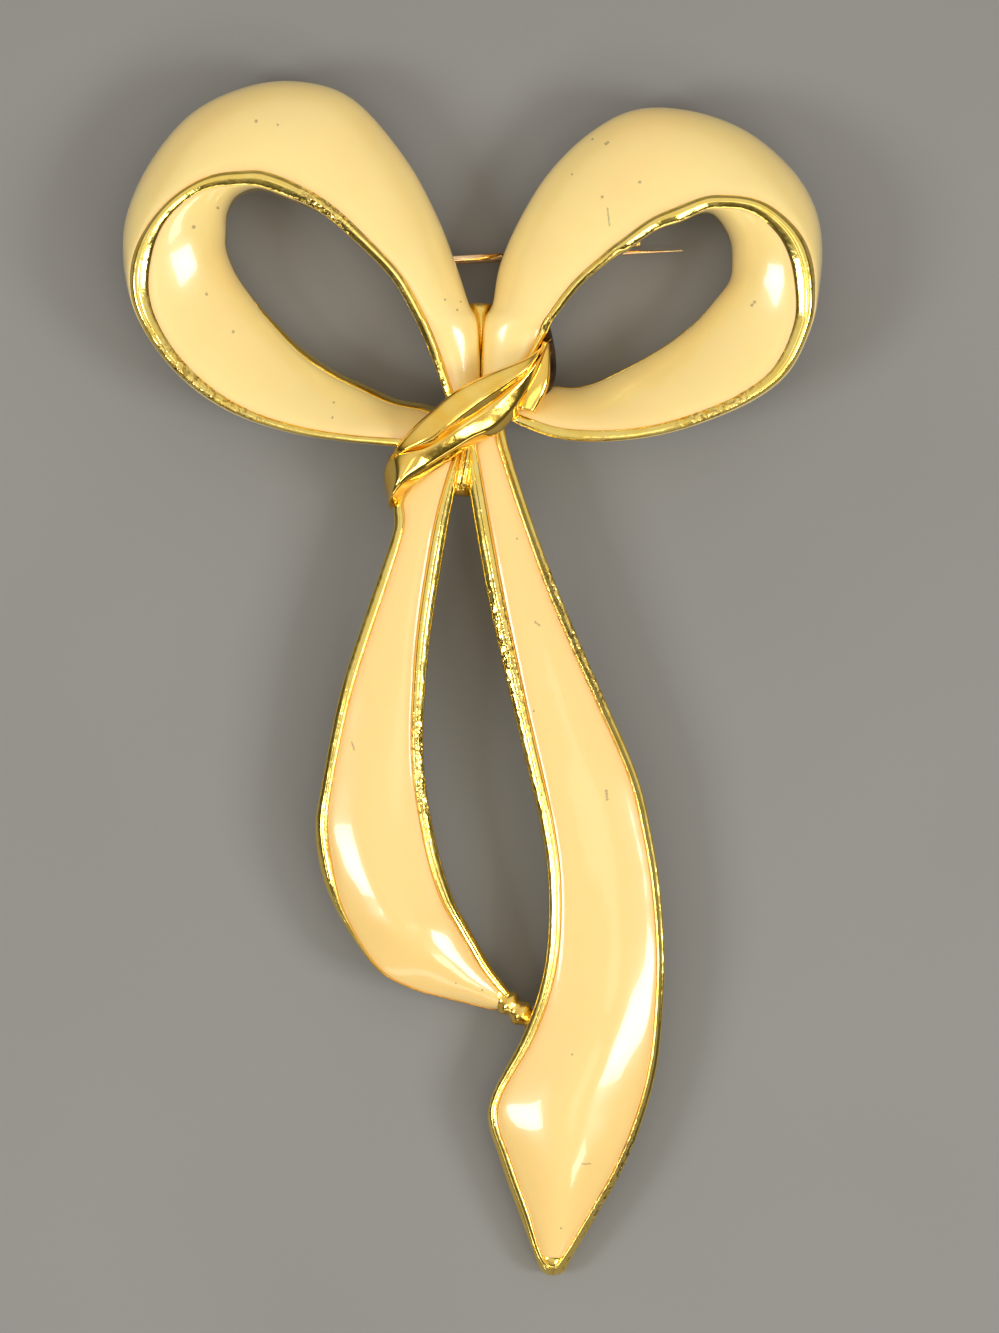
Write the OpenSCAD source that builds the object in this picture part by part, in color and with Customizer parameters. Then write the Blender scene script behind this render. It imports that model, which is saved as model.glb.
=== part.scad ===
// Bow brooch: two ribbon loops and two ribbon tails in one gilt casting, with
// cream enamel laid in the cells between the rims, a twisted knot, and a hinged
// pin at the back. It lies on its back, face up, with +Y toward the loops.

/* [Bow] */
// overall width across the two loops
bow_w = 58.9; // [54:0.1:64]
// how far the loops rise above the middle of the knot
loops_h = 29.3; // [28:0.1:32]
// how far the tails fall below the middle of the knot
tails_h = 71.1; // [66:0.1:78]
// height of the front rims of the loops over the plane it lies on
bow_depth = 11; // [10.4:0.1:12]

/* [Ribbon] */
// metal left between the front and the hollow back
wall = 1.5; // [1.3:0.05:1.8]
// width of the gold band along the front of a loop
band_w = 1.6; // [1.3:0.05:1.8]
// how far the band stands over the enamel
rim_rise = 0.18; // [0.1:0.02:0.3]
// width of the gold rims along the tails
rim_w = 0.75; // [0.6:0.05:1]
// thickness of a tail
tail_t = 2.2; // [2:0.05:2.6]
// rise of the enamel along the middle of a tail
tail_dome = 0.35; // [0.2:0.05:0.5]

/* [Enamel] */
// depth of the cells in the metal
cell_d = 0.45; // [0.4:0.05:0.6]
// gap all round a piece of enamel
seat_gap = 0.05; // [0.03:0.01:0.08]

/* [Knot] */
// how far the middle of the knot lobes lies under the front rims of the loops
knot_drop = 3.4; // [3:0.1:3.8]
// half the height of the knot lobes
knot_rise = 2.6; // [2.3:0.1:3]

/* [Pin] */
// radius of the pin's wire
stem_r = 0.4; // [0.35:0.01:0.45]
// length of the wire from the rivet to the point
stem_l = 21.6; // [20.5:0.1:22.5]
// height of the wire's middle over the plane it lies on
stem_z = 1.3; // [1.25:0.05:1.5]
// slope of the pin across the bow, in degrees
stem_slope = 2.3; // [0:0.1:3]
// radius of the rivet through the hinge
rivet_r = 0.4; // [0.35:0.01:0.45]
// play between the rivet and the pin's eye
rivet_play = 0.05; // [0.03:0.01:0.08]
// width of the pin's eye along the rivet
eye_w = 0.9; // [0.8:0.05:1]
// thickness of each ear of the hinge
ear_t = 0.6; // [0.5:0.05:0.8]

/* [Hidden] */

gold = [0.86, 0.66, 0.22];
enamel = [1.0, 0.86, 0.62];
copper = [0.88, 0.62, 0.40];

// the middle of the knot, from which all lengths of the bow are measured
knot_z = bow_depth - knot_drop;
knot_x = -0.0053 * bow_w;
knot_y = (tails_h - loops_h) / 2 + 0.015 * loops_h;

// Rows of a loop, from the knot over the top and round to the knot again.
// Each row is one section: the outer edge and the edge at the hole, across in
// thousandths of bow_w and up in thousandths of loops_h, then in hundredths
// the place of the band between the two edges, the height of the band and of
// the foot as shares of bow_depth, how steeply the inner face rolls off at the
// hole, the width of the band and the bare gold at the outer foot.
//   [out_x, out_y, hole_x, hole_y, band_at, band_z, foot_z, roll, band, bare]
left_loop = [
    [18, 60, -30, 49, 84, 70, 30, 50, 44, 30],
    [18, 214, -53, 186, 90, 74, 31, 50, 50, 30],
    [6, 346, -78, 295, 91, 80, 32, 50, 54, 24],
    [-18, 476, -110, 413, 92, 87, 32, 50, 58, 8],
    [-43, 600, -158, 512, 93, 92, 32, 50, 62, 6],
    [-89, 768, -211, 600, 93, 96, 32, 50, 68, 6],
    [-165, 940, -259, 640, 92, 98, 32, 55, 80, 6],
    [-246, 991, -299, 665, 91, 100, 32, 62, 92, 6],
    [-325, 971, -329, 646, 85, 100, 32, 66, 92, 6],
    [-398, 897, -342, 603, 71, 100, 32, 66, 90, 6],
    [-455, 763, -343, 549, 51, 100, 32, 64, 90, 6],
    [-490, 611, -342, 500, 34, 100, 32, 60, 92, 6],
    [-495, 475, -328, 431, 19, 100, 32, 52, 96, 8],
    [-480, 346, -304, 363, 9, 99, 32, 42, 96, 10],
    [-447, 219, -270, 289, 7, 97, 32, 32, 86, 20],
    [-396, 106, -232, 218, 7, 94, 32, 26, 74, 30],
    [-334, 27, -188, 159, 7, 90, 32, 24, 64, 30],
    [-258, -24, -145, 119, 7, 86, 32, 24, 58, 30],
    [-181, -49, -101, 81, 7, 81, 32, 24, 56, 30],
    [-113, -62, -60, 67, 8, 76, 31, 24, 54, 30],
    [-61, -74, -26, 44, 10, 72, 30, 24, 50, 30]
];
right_loop = [
    [22, 60, 79, 148, 90, 70, 30, 50, 44, 30],
    [22, 214, 110, 254, 93, 74, 31, 50, 44, 30],
    [30, 343, 124, 306, 94, 80, 32, 50, 44, 24],
    [41, 460, 161, 399, 95, 87, 32, 50, 48, 8],
    [68, 583, 206, 472, 95, 92, 32, 50, 56, 6],
    [111, 723, 226, 496, 95, 96, 32, 50, 60, 6],
    [170, 840, 266, 550, 95, 98, 32, 55, 68, 6],
    [237, 909, 299, 572, 94, 100, 32, 58, 78, 6],
    [317, 906, 333, 599, 92, 100, 32, 62, 88, 6],
    [396, 849, 353, 584, 83, 100, 32, 66, 92, 6],
    [460, 743, 369, 530, 60, 100, 32, 66, 94, 6],
    [496, 626, 372, 466, 42, 100, 32, 62, 96, 6],
    [506, 498, 368, 414, 27, 100, 32, 56, 96, 6],
    [498, 360, 349, 363, 14, 99, 32, 46, 96, 8],
    [485, 265, 324, 304, 9, 97, 32, 36, 92, 14],
    [456, 148, 290, 247, 8, 94, 32, 28, 88, 24],
    [408, 69, 252, 199, 8, 90, 32, 24, 84, 30],
    [338, 7, 211, 156, 8, 86, 32, 24, 80, 30],
    [264, -35, 179, 127, 8, 82, 32, 24, 78, 30],
    [187, -51, 149, 113, 9, 78, 32, 24, 76, 30],
    [119, -39, 117, 119, 10, 74, 31, 24, 66, 30],
    [57, 12, 88, 113, 12, 70, 30, 24, 50, 30]
];

// Rows of a tail, from the knot to its end: both edges, across in thousandths
// of bow_w and down in thousandths of tails_h, the height of the front at
// either edge in hundredths of bow_depth, and the width of either rim in
// hundredths of rim_w.
//   [left_x, left_down, right_x, right_down, left_z, right_z, left_rim, right_rim]
left_tail = [
    [-97, 76, -3, 27, 60, 60, 90, 100],
    [-107, 98, -13, 56, 62, 62, 90, 110],
    [-108, 126, -27, 110, 64, 65, 90, 110],
    [-135, 193, -44, 193, 64, 66, 90, 100],
    [-157, 245, -55, 253, 63, 66, 90, 90],
    [-179, 301, -62, 316, 61, 66, 90, 90],
    [-194, 353, -65, 373, 58, 65, 90, 90],
    [-209, 419, -61, 424, 54, 63, 90, 90],
    [-219, 471, -50, 477, 50, 61, 100, 90],
    [-212, 522, -36, 524, 45, 58, 110, 100],
    [-194, 563, -19, 563, 40, 54, 110, 110],
    [-165, 605, -3, 587, 33, 50, 90, 110],
    [-126, 645, 13, 611, 26, 45, 40, 110],
    [-77, 666, 31, 637, 21, 40, 20, 110],
    [-26, 678, 53, 663, 20, 36, 20, 100],
    [20, 688, 71, 682, 20, 31, 20, 70],
    [46, 693, 83, 691, 20, 28, 30, 40]
];
right_tail = [
    [-10, 16, 50, -1, 60, 60, 100, 100],
    [-7, 42, 57, 28, 62, 62, 110, 90],
    [10, 129, 88, 107, 66, 64, 110, 100],
    [30, 218, 126, 192, 67, 64, 110, 100],
    [47, 281, 166, 271, 67, 62, 110, 100],
    [62, 333, 194, 323, 66, 60, 110, 100],
    [87, 419, 240, 412, 64, 57, 110, 100],
    [102, 474, 260, 479, 61, 54, 110, 100],
    [112, 535, 273, 547, 57, 51, 110, 100],
    [111, 611, 279, 624, 52, 48, 110, 100],
    [98, 670, 276, 694, 47, 44, 110, 100],
    [73, 725, 269, 753, 41, 40, 100, 100],
    [27, 804, 252, 810, 34, 35, 80, 100],
    [44, 867, 222, 874, 30, 31, 90, 110],
    [71, 931, 181, 936, 26, 27, 90, 110],
    [94, 980, 147, 983, 22, 23, 90, 110],
    [107, 1001, 130, 1002, 20, 20, 60, 60]
];

// Rows of a rounded lobe: its middle, across in thousandths of bow_w and along
// in thousandths of the length named where it is drawn, its half width in
// thousandths of bow_w, and its middle and half height as hundredths of knot_z
// and knot_rise.
//   [x, y, half_width, z, half_height]
knot_upper = [
    [105, 218, 5, 88, 40],
    [74, 158, 13, 98, 80],
    [34, 110, 18, 102, 98],
    [-8, 53, 20, 102, 100],
    [-51, -12, 20, 98, 92],
    [-85, -63, 17, 90, 74],
    [-106, -100, 7, 80, 40]
];
knot_lower = [
    [112, 196, 6, 82, 44],
    [105, 131, 14, 88, 72],
    [75, 71, 19, 94, 88],
    [31, 11, 20, 95, 92],
    [-13, -43, 19, 93, 90],
    [-51, -86, 20, 90, 88],
    [-81, -120, 21, 88, 86],
    [-102, -172, 17, 82, 80],
    [-113, -233, 7, 74, 46]
];
knot_core = [
    [112, 220, 12, 66, 70],
    [92, 151, 24, 66, 86],
    [57, 94, 34, 66, 92],
    [0, 14, 40, 66, 94],
    [-48, -66, 33, 66, 92],
    [-85, -146, 16, 66, 70]
];
core_side = [
    [104, 300, 9, 60, 50],
    [111, 200, 14, 60, 66],
    [106, 110, 18, 60, 68],
    [94, 30, 14, 60, 60]
];
top_web = [
    [15, 340, 5, 52, 50],
    [17, 312, 12, 56, 64],
    [20, 240, 11, 58, 64],
    [21, 150, 9, 60, 60]
];
tail_web = [
    [-4, 24, 12, 66, 50],
    [-8, 50, 12, 68, 50],
    [-10, 74, 9, 68, 44],
    [-10, 83, 5, 68, 34]
];
strut = [
    [34, 683, 7, 33, 30],
    [44, 687, 9, 34, 33],
    [54, 691, 6, 36, 27],
    [63, 694, 9, 38, 33],
    [71, 698, 6, 40, 27],
    [80, 701, 9, 42, 33],
    [91, 706, 7, 44, 30]
];

// the pin: the places of the rivet and of the catch's ends, across in
// thousandths of bow_w and up in thousandths of loops_h
hinge_at = [-61, 479];
pad_from = 179;
pad_to = 251;
tongue_to = 307;
ear_play = 0.08;
rivet_seat = 0.02;
eye_r = 1;
plate_half = 1.7;
plate_clear = 0.25;
solder = 0.35;
catch_t = 0.45;
catch_play = 0.1;
point_r = 0.06;
// what the wire's even stretch keeps clear of the ears and of the catch
wire_clear = 0.12;
head_r = 0.65;
head_t = 0.25;
// the plate's edge beyond the ears, and the catch walls' start behind its pad
plate_lip = 0.3;
wall_from = 1.5;

// stations between two rows of a table
loop_steps = 2;
tail_steps = 2;
lobe_steps = 2;
lobe_sides = 10;
face_steps = 4;
// how far a rounded end reaches past its last section
end_reach = 0.4;

function mix(a, b, t) = a + (b - a) * t;

// a smooth curve through four rows in turn
function fair4(a, b, c, d, t) =
    b + (c - a) * (t / 2)
    + (2 * a - 5 * b + 4 * c - d) * (t * t / 2)
    + (3 * b - a - 3 * c + d) * (t * t * t / 2);
function row(t, i) = t[max(0, min(len(t) - 1, i))];
function stations(t, steps) = [
    for (i = [0 : len(t) - 2])
        for (k = [0 : steps - 1])
            fair4(row(t, i - 1), row(t, i), row(t, i + 1), row(t, i + 2), k / steps),
    t[len(t) - 1]
];

function bez(p, t) =
    p[0] * pow(1 - t, 3)
    + p[1] * 3 * t * pow(1 - t, 2)
    + p[2] * 3 * t * t * (1 - t)
    + p[3] * pow(t, 3);
function bez_dir(p, t) =
    (p[1] - p[0]) * pow(1 - t, 2)
    + (p[2] - p[1]) * 2 * t * (1 - t)
    + (p[3] - p[2]) * t * t;
// a point of the curve, sunk by d on its right hand side
function bez_sunk(p, t, d) =
    let (v = bez_dir(p, t), n = [v[1], -v[0]] / max(norm(v), 0.001))
    bez(p, t) + n * d;
function bez_len(p) =
    (norm(p[3] - p[0]) + norm(p[1] - p[0]) + norm(p[2] - p[1]) + norm(p[3] - p[2])) / 2;

// named sizes of one loop section, in millimetres
function out_at(r) = [knot_x + r[0] * bow_w / 1000, knot_y + r[1] * loops_h / 1000];
function hole_at(r) = [knot_x + r[2] * bow_w / 1000, knot_y + r[3] * loops_h / 1000];
function sect_w(r) = norm(hole_at(r) - out_at(r));
function band_u(r) = sect_w(r) * r[4] / 100;
function band_z(r) = bow_depth * r[5] / 100;
function foot_z(r) = bow_depth * r[6] / 100;
function band_half(r) = band_w * r[8] / 200;
band_drop = 0.12;
foot_tuck = 0.35;
hole_lip = 0.5;
// the narrowest strip left beside a band, and the width at which a tail is fully domed
least_w = 0.02;
domed_w = 5;

// the outer and the inner face of a loop section, as curves in its own plane
function outer_face(r) =
    let (
        w = sect_w(r),
        zb = foot_z(r),
        h = band_z(r) - zb,
        e = max(band_u(r) - band_half(r), least_w)
    )
    [
        [min(0.06 * w, foot_tuck), zb],
        [-0.14 * e, zb + 0.45 * h],
        [0.42 * e, band_z(r) - 0.12 * h],
        [e, band_z(r) - band_drop]
    ];
function inner_face(r) =
    let (
        w = sect_w(r),
        zb = foot_z(r),
        h = band_z(r) - zb,
        e = min(band_u(r) + band_half(r), w - 2 * least_w)
    )
    [
        [e, band_z(r) - band_drop],
        [e + 0.4 * (w - e), band_z(r) - 0.2 * h],
        [w + 0.04 * (w - e), zb + h * r[7] / 100],
        [w - foot_tuck * r[7] / 100, zb]
    ];

function sect_3d(r, p) =
    let (o = out_at(r), d = (hole_at(r) - o) / sect_w(r))
    [o[0] + d[0] * p[0], o[1] + d[1] * p[0], p[1]];

function lip_o(r) = r[9] / 100;
function lip_i(r) = 1 - hole_lip / bez_len(inner_face(r));

// the closed outline of the metal in a loop section
function metal_sect(r) =
    let (
        a = outer_face(r),
        b = inner_face(r),
        w = sect_w(r),
        zb = foot_z(r),
        h = band_z(r) - zb,
        roof = band_z(r) - wall - cell_d,
        mid = min(max(band_u(r), wall + 0.25 * w), w - wall - 0.25 * w)
    )
    concat(
        [a[0], bez(a, lip_o(r))],
        [for (k = [0 : face_steps]) bez_sunk(a, mix(lip_o(r), 1, k / face_steps), cell_d)],
        [a[3] + [0, rim_rise], [band_u(r), band_z(r)], b[0] + [0, rim_rise]],
        [for (k = [0 : face_steps]) bez_sunk(b, mix(0, lip_i(r), k / face_steps), cell_d)],
        [bez(b, lip_i(r)), b[3]],
        [[b[3][0] - 0.75 * wall, zb]],
        [[mix(mid, w, 0.35), mix(zb, roof, 0.35)]],
        [[mid, mix(zb, roof, 0.5)]],
        [[mix(mid, 0, 0.35), mix(zb, roof, 0.35)]],
        [[a[0][0] + 0.75 * wall, zb]]
    );

// the closed outline of the enamel on one face, from t0 to t1 of its curve
function enamel_sect(r, p, t0, t1) =
    let (
        s = seat_gap / bez_len(p),
        lo = t0 + s,
        hi = t1 - s
    )
    concat(
        [for (k = [0 : face_steps]) bez(p, mix(lo, hi, k / face_steps))],
        [for (k = [face_steps : -1 : 0])
            bez_sunk(p, mix(lo, hi, k / face_steps), cell_d - seat_gap)]
    );

// named sizes of one tail section
function tail_at(x, down) = [knot_x + x * bow_w / 1000, knot_y - down * tails_h / 1000];
function tail_l(r) = tail_at(r[0], r[1]);
function tail_r(r) = tail_at(r[2], r[3]);
function tail_w(r) = norm(tail_r(r) - tail_l(r));
function rim_l(r) = min(rim_w * r[6] / 100, 0.3 * tail_w(r));
function rim_r(r) = min(rim_w * r[7] / 100, 0.3 * tail_w(r));
function tail_top(r, u) = mix(r[4], r[5], u / tail_w(r)) * bow_depth / 100;
function dome(r, u) =
    tail_top(r, u) + tail_dome * min(1, tail_w(r) / domed_w) * 4 * (u / tail_w(r)) * (1 - u / tail_w(r));
function tail_3d(r, p) =
    let (o = tail_l(r), d = (tail_r(r) - o) / tail_w(r))
    [o[0] + d[0] * p[0], o[1] + d[1] * p[0], p[1]];

function tail_metal(r) =
    let (
        w = tail_w(r),
        l = rim_l(r),
        m = w - rim_r(r),
        base = [max(0, tail_top(r, 0) - tail_t), max(0, tail_top(r, w) - tail_t)],
        hollow = 0.3 * tail_t * min(1, w / domed_w)
    )
    concat(
        [[0, base[0]], [0, tail_top(r, 0) - rim_rise], [l * 0.35, tail_top(r, 0) + rim_rise]],
        [[l, tail_top(r, l) + rim_rise * 0.6]],
        [for (k = [0 : 4]) let (u = mix(l, m, k / 4)) [u, dome(r, u) - cell_d]],
        [[m, tail_top(r, m) + rim_rise * 0.6]],
        [[mix(m, w, 0.65), tail_top(r, w) + rim_rise], [w, tail_top(r, w) - rim_rise]],
        [[w, base[1]], [w - 0.1 * w, base[1]]],
        [[w / 2, mix(base[0], base[1], 0.5) + hollow]],
        [[0.1 * w, base[0]]]
    );
function tail_enamel(r) =
    let (
        w = tail_w(r),
        l = rim_l(r) + seat_gap,
        m = w - rim_r(r) - seat_gap
    )
    concat(
        [for (k = [0 : 4]) let (u = mix(l, m, k / 4)) [u, dome(r, u)]],
        [for (k = [4 : -1 : 0])
            let (u = mix(l, m, k / 4)) [u, dome(r, u) - cell_d + seat_gap]]
    );

// the faces round a list of rings, each with the same number of points; flip
// turns them over for a ribbon that runs the other way round
function turn(f, flip) = flip ? [f[0], f[2], f[1]] : f;
function side_faces(s, n, flip) = [
    for (i = [0 : s - 2])
        for (j = [0 : n - 1])
            for (f = [
                [i * n + j, i * n + (j + 1) % n, (i + 1) * n + j],
                [i * n + (j + 1) % n, (i + 1) * n + (j + 1) % n, (i + 1) * n + j]
            ])
                turn(f, flip)
];
function middle(r) = [for (k = [0 : len(r) - 1]) 1] * r / len(r);

// a solid through rings whose two ends close on a point just beyond them
module pointed_skin(rings, reach, flip = false) {
    n = len(rings[0]);
    s = len(rings);
    m = [for (r = rings) middle(r)];
    back = m[0] - m[1];
    front = m[s - 1] - m[s - 2];
    polyhedron(
        points = concat(
            [for (r = rings) for (p = r) p],
            [m[0] + back / norm(back) * reach, m[s - 1] + front / norm(front) * reach]
        ),
        faces = concat(
            side_faces(s, n, flip),
            [for (j = [0 : n - 1]) turn([s * n, (j + 1) % n, j], flip)],
            [for (j = [0 : n - 1])
                turn([s * n + 1, (s - 1) * n + j, (s - 1) * n + (j + 1) % n], flip)]
        ),
        convexity = 8
    );
}
// a solid through flat rings whose first half lies over their second half
module plate_skin(rings, flip = false) {
    n = len(rings[0]);
    s = len(rings);
    e = (s - 1) * n;
    polyhedron(
        points = [for (r = rings) for (p = r) p],
        faces = concat(
            side_faces(s, n, flip),
            [for (k = [0 : n / 2 - 2])
                for (f = [[k, n - 1 - k, k + 1], [k + 1, n - 1 - k, n - 2 - k]])
                    turn(f, flip)],
            [for (k = [0 : n / 2 - 2])
                for (f = [
                    [e + k, e + k + 1, e + n - 1 - k],
                    [e + k + 1, e + n - 2 - k, e + n - 1 - k]
                ])
                    turn(f, flip)]
        ),
        convexity = 8
    );
}

module loop_metal(t, flip) {
    pointed_skin(
        [for (r = stations(t, loop_steps)) [for (p = metal_sect(r)) sect_3d(r, p)]],
        end_reach,
        flip
    );
}
module loop_outer(t, first, last, flip) {
    st = stations(t, loop_steps);
    plate_skin(
        [for (i = [first : len(st) - 1 - last])
            [for (p = enamel_sect(st[i], outer_face(st[i]), lip_o(st[i]), 1)) sect_3d(st[i], p)]],
        flip
    );
}
module loop_inner(t, first, last, flip) {
    st = stations(t, loop_steps);
    plate_skin(
        [for (i = [first : len(st) - 1 - last])
            [for (p = enamel_sect(st[i], inner_face(st[i]), 0, lip_i(st[i]))) sect_3d(st[i], p)]],
        flip
    );
}
module tail_body(t) {
    pointed_skin(
        [for (r = stations(t, tail_steps)) [for (p = tail_metal(r)) tail_3d(r, p)]],
        end_reach
    );
}
module tail_fill(t, first, last) {
    st = stations(t, tail_steps);
    plate_skin([for (i = [first : len(st) - 1 - last])
        [for (p = tail_enamel(st[i])) tail_3d(st[i], p)]]);
}

function lobe_pos(r, span) = [knot_x + r[0] * bow_w / 1000, knot_y + r[1] * span / 1000];
module lobe(t, span, grow = 0) {
    st = stations(t, lobe_steps);
    pointed_skin(
        [for (i = [0 : len(st) - 1])
            let (
                r = st[i],
                v = lobe_pos(st[min(i + 1, len(st) - 1)], span) - lobe_pos(st[max(i - 1, 0)], span),
                side = [v[1], -v[0]] / norm(v),
                a = r[2] * bow_w / 1000 + grow,
                b = knot_rise * r[4] / 100 + grow,
                c = lobe_pos(r, span)
            )
            [for (k = [0 : lobe_sides - 1])
                let (q = 360 * k / lobe_sides)
                [c[0] + side[0] * a * cos(q), c[1] + side[1] * a * cos(q),
                    knot_z * r[3] / 100 + b * sin(q)]]],
        end_reach
    );
}

module knot(grow = 0) {
    lobe(knot_core, loops_h, grow);
    lobe(knot_upper, loops_h, grow);
    lobe(knot_lower, loops_h, grow);
}

// the pin's own frame: the rivet's middle, the wire along +X, the rivet along Y
module at_hinge() {
    translate([
        knot_x + hinge_at[0] * bow_w / 1000,
        knot_y + hinge_at[1] * loops_h / 1000,
        stem_z
    ])
    rotate([0, 0, stem_slope])
    children();
}
foot_top = 0.32 * bow_depth - stem_z + solder;
ears_half = eye_w / 2 + ear_play + ear_t;

module along_rivet(r, from, to) {
    translate([0, from, 0])
    rotate([-90, 0, 0])
    cylinder(r = r, h = to - from);
}

module hinge_bracket() {
    at_hinge() difference() {
        union() {
            translate([-plate_half, -ears_half - plate_lip, eye_r + plate_clear])
                cube([2 * plate_half, 2 * (ears_half + plate_lip), foot_top - eye_r - plate_clear]);
            for (side = [-1, 1]) {
                along_rivet(stem_z, side * (ears_half - ear_t / 2) - ear_t / 2,
                    side * (ears_half - ear_t / 2) + ear_t / 2);
                translate([-stem_z, side * (ears_half - ear_t / 2) - ear_t / 2, 0])
                    cube([2 * stem_z, ear_t, eye_r + plate_clear + solder]);
            }
        }
        along_rivet(rivet_r + rivet_seat, -ears_half - 1, ears_half + 1);
    }
}

module catch() {
    half = stem_r + catch_play;
    from = pad_from * bow_w / 1000;
    pad_l = (pad_to - pad_from) * bow_w / 1000;
    tongue_l = (tongue_to - pad_from) * bow_w / 1000 - wall_from;
    at_hinge() {
        translate([from, -half - catch_t, half])
            cube([pad_l, 2 * (half + catch_t), foot_top - half]);
        translate([from + wall_from, -half - catch_t, -stem_z])
            cube([pad_l - wall_from, catch_t, stem_z + foot_top - solder]);
        translate([from + wall_from, half, -stem_z])
            cube([tongue_l, catch_t, stem_z + half + catch_t]);
    }
}

module bow_casting() {
    color(gold)
    union() {
        loop_metal(left_loop, false);
        loop_metal(right_loop, true);
        tail_body(left_tail);
        tail_body(right_tail);
        knot();
        lobe(core_side, loops_h);
        lobe(top_web, loops_h);
        lobe(tail_web, -tails_h);
        lobe(strut, -tails_h);
        hinge_bracket();
        catch();
    }
}

module enamel_left_loop_outer() {
    color(enamel) difference() {
        loop_outer(left_loop, 0, 0, false);
        knot(seat_gap);
        lobe(top_web, loops_h, seat_gap);
    }
}
module enamel_left_loop_inner() {
    color(enamel) difference() {
        loop_inner(left_loop, 0, 0, false);
        knot(seat_gap);
    }
}
module enamel_right_loop_outer() {
    color(enamel) difference() {
        loop_outer(right_loop, 0, 0, true);
        knot(seat_gap);
        lobe(top_web, loops_h, seat_gap);
    }
}
module enamel_right_loop_inner() {
    color(enamel) difference() {
        loop_inner(right_loop, 0, 0, true);
        knot(seat_gap);
        lobe(core_side, loops_h, seat_gap);
    }
}
module enamel_left_tail() {
    color(enamel) difference() {
        tail_fill(left_tail, 2, 1);
        lobe(strut, -tails_h, seat_gap);
    }
}
module enamel_right_tail() {
    color(enamel) tail_fill(right_tail, 2, 1);
}

module along_stem(r1, r2, from, to) {
    translate([from, 0, 0])
    rotate([0, 90, 0])
    cylinder(r1 = r1, r2 = r2, h = to - from);
}

module pin_stem() {
    wire_from = stem_z + wire_clear;
    wire_to = pad_from * bow_w / 1000 - wire_clear;
    color(copper) at_hinge() difference() {
        union() {
            along_rivet(eye_r, -eye_w / 2, eye_w / 2);
            translate([0, -eye_w / 2, -stem_r])
                cube([wire_from, eye_w, 2 * stem_r]);
            along_stem(stem_r, stem_r, wire_from, wire_to);
            along_stem(stem_r, point_r, wire_to, stem_l);
        }
        along_rivet(rivet_r + rivet_play, -eye_w, eye_w);
    }
}

module pin_rivet() {
    color(gold) at_hinge() union() {
        along_rivet(rivet_r, -ears_half - rivet_seat - head_t / 2, ears_half + rivet_seat + head_t / 2);
        for (side = [-1, 1])
            along_rivet(head_r, side * (ears_half + rivet_seat + head_t / 2) - head_t / 2,
                side * (ears_half + rivet_seat + head_t / 2) + head_t / 2);
    }
}

bow_casting();
enamel_left_loop_outer();
enamel_left_loop_inner();
enamel_right_loop_outer();
enamel_right_loop_inner();
enamel_left_tail();
enamel_right_tail();
pin_stem();
pin_rivet();
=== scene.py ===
# %% [markdown]
# # A ribbon bow brooch in gilt metal and cream enamel
# The brooch lies on its back with its face up. Its metal was cast in one piece,
# plated with gold and polished, and enamel was laid between the gold rims. The
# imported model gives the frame: every piece below is made at its own place in it.

# %% Load the frame
import math
import bpy
import numpy as np
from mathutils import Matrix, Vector


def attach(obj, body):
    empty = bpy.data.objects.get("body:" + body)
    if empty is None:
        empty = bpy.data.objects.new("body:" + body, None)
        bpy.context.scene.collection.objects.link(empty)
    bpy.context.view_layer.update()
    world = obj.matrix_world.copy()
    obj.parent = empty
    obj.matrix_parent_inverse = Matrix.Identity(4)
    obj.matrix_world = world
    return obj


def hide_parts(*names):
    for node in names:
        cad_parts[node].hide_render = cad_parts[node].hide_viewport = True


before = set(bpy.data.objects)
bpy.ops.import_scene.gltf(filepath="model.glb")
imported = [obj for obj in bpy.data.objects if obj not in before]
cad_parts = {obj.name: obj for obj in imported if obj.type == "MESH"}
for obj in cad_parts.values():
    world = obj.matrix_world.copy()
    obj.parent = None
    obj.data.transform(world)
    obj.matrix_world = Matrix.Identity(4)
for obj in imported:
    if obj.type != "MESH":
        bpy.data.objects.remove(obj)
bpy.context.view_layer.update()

# %% [markdown]
# ## Sizes
# The brooch is measured in millimetres, as a maker would, and turned into
# metres only when a mesh is written. The shapes hang on these few sizes, and
# the tables further down hold shares of them. That way a table stays a plain
# drawing of the shape, and one number sets how large it comes out.

# %% Sizes of the brooch
MM = 0.001
BOW_W = 58.82
LOOPS_H = 29.21
TAILS_H = 71.1
BOW_DEPTH = 11.0
WALL = 1.5
BAND_W = 1.6
RIM_W = 1.0
TAIL_T = 2.2
KNOT_Z = BOW_DEPTH - 3.4
KNOT_RISE = 2.6
KNOT = np.array([-0.312, 21.34])
print("the middle of the knot lies at", KNOT)

# %% [markdown]
# ## The camera
# The photograph looks straight down on the face of the brooch through a long
# lens. The camera stands 600 mm above the table, so nearer parts look a little
# larger, and its view is as tall as the photograph's frame at the height of the
# ribbons' middle. A wide lens close by would frame it as well, but it would
# show far too much of the loops' sides.

# %% Camera
VIEW_HEIGHT = 111.55
CAMERA_Z = 600.0
VIEW_MIDDLE = (2.24, 1.13)
MIDDLE_Z = 6.0
SENSOR = 24.0
SEEN_FROM = 10.0

camera_data = bpy.data.cameras.new("camera")
camera_data.sensor_fit = "VERTICAL"
camera_data.sensor_height = SENSOR
camera_data.lens = SENSOR * (CAMERA_Z - MIDDLE_Z) / VIEW_HEIGHT
camera_data.clip_start = SEEN_FROM * MM
camera = bpy.data.objects.new("camera", camera_data)
bpy.context.scene.collection.objects.link(camera)
camera.location = (VIEW_MIDDLE[0] * MM, VIEW_MIDDLE[1] * MM, CAMERA_Z * MM)
bpy.context.scene.camera = camera
print("lens", round(camera_data.lens, 1))

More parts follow.
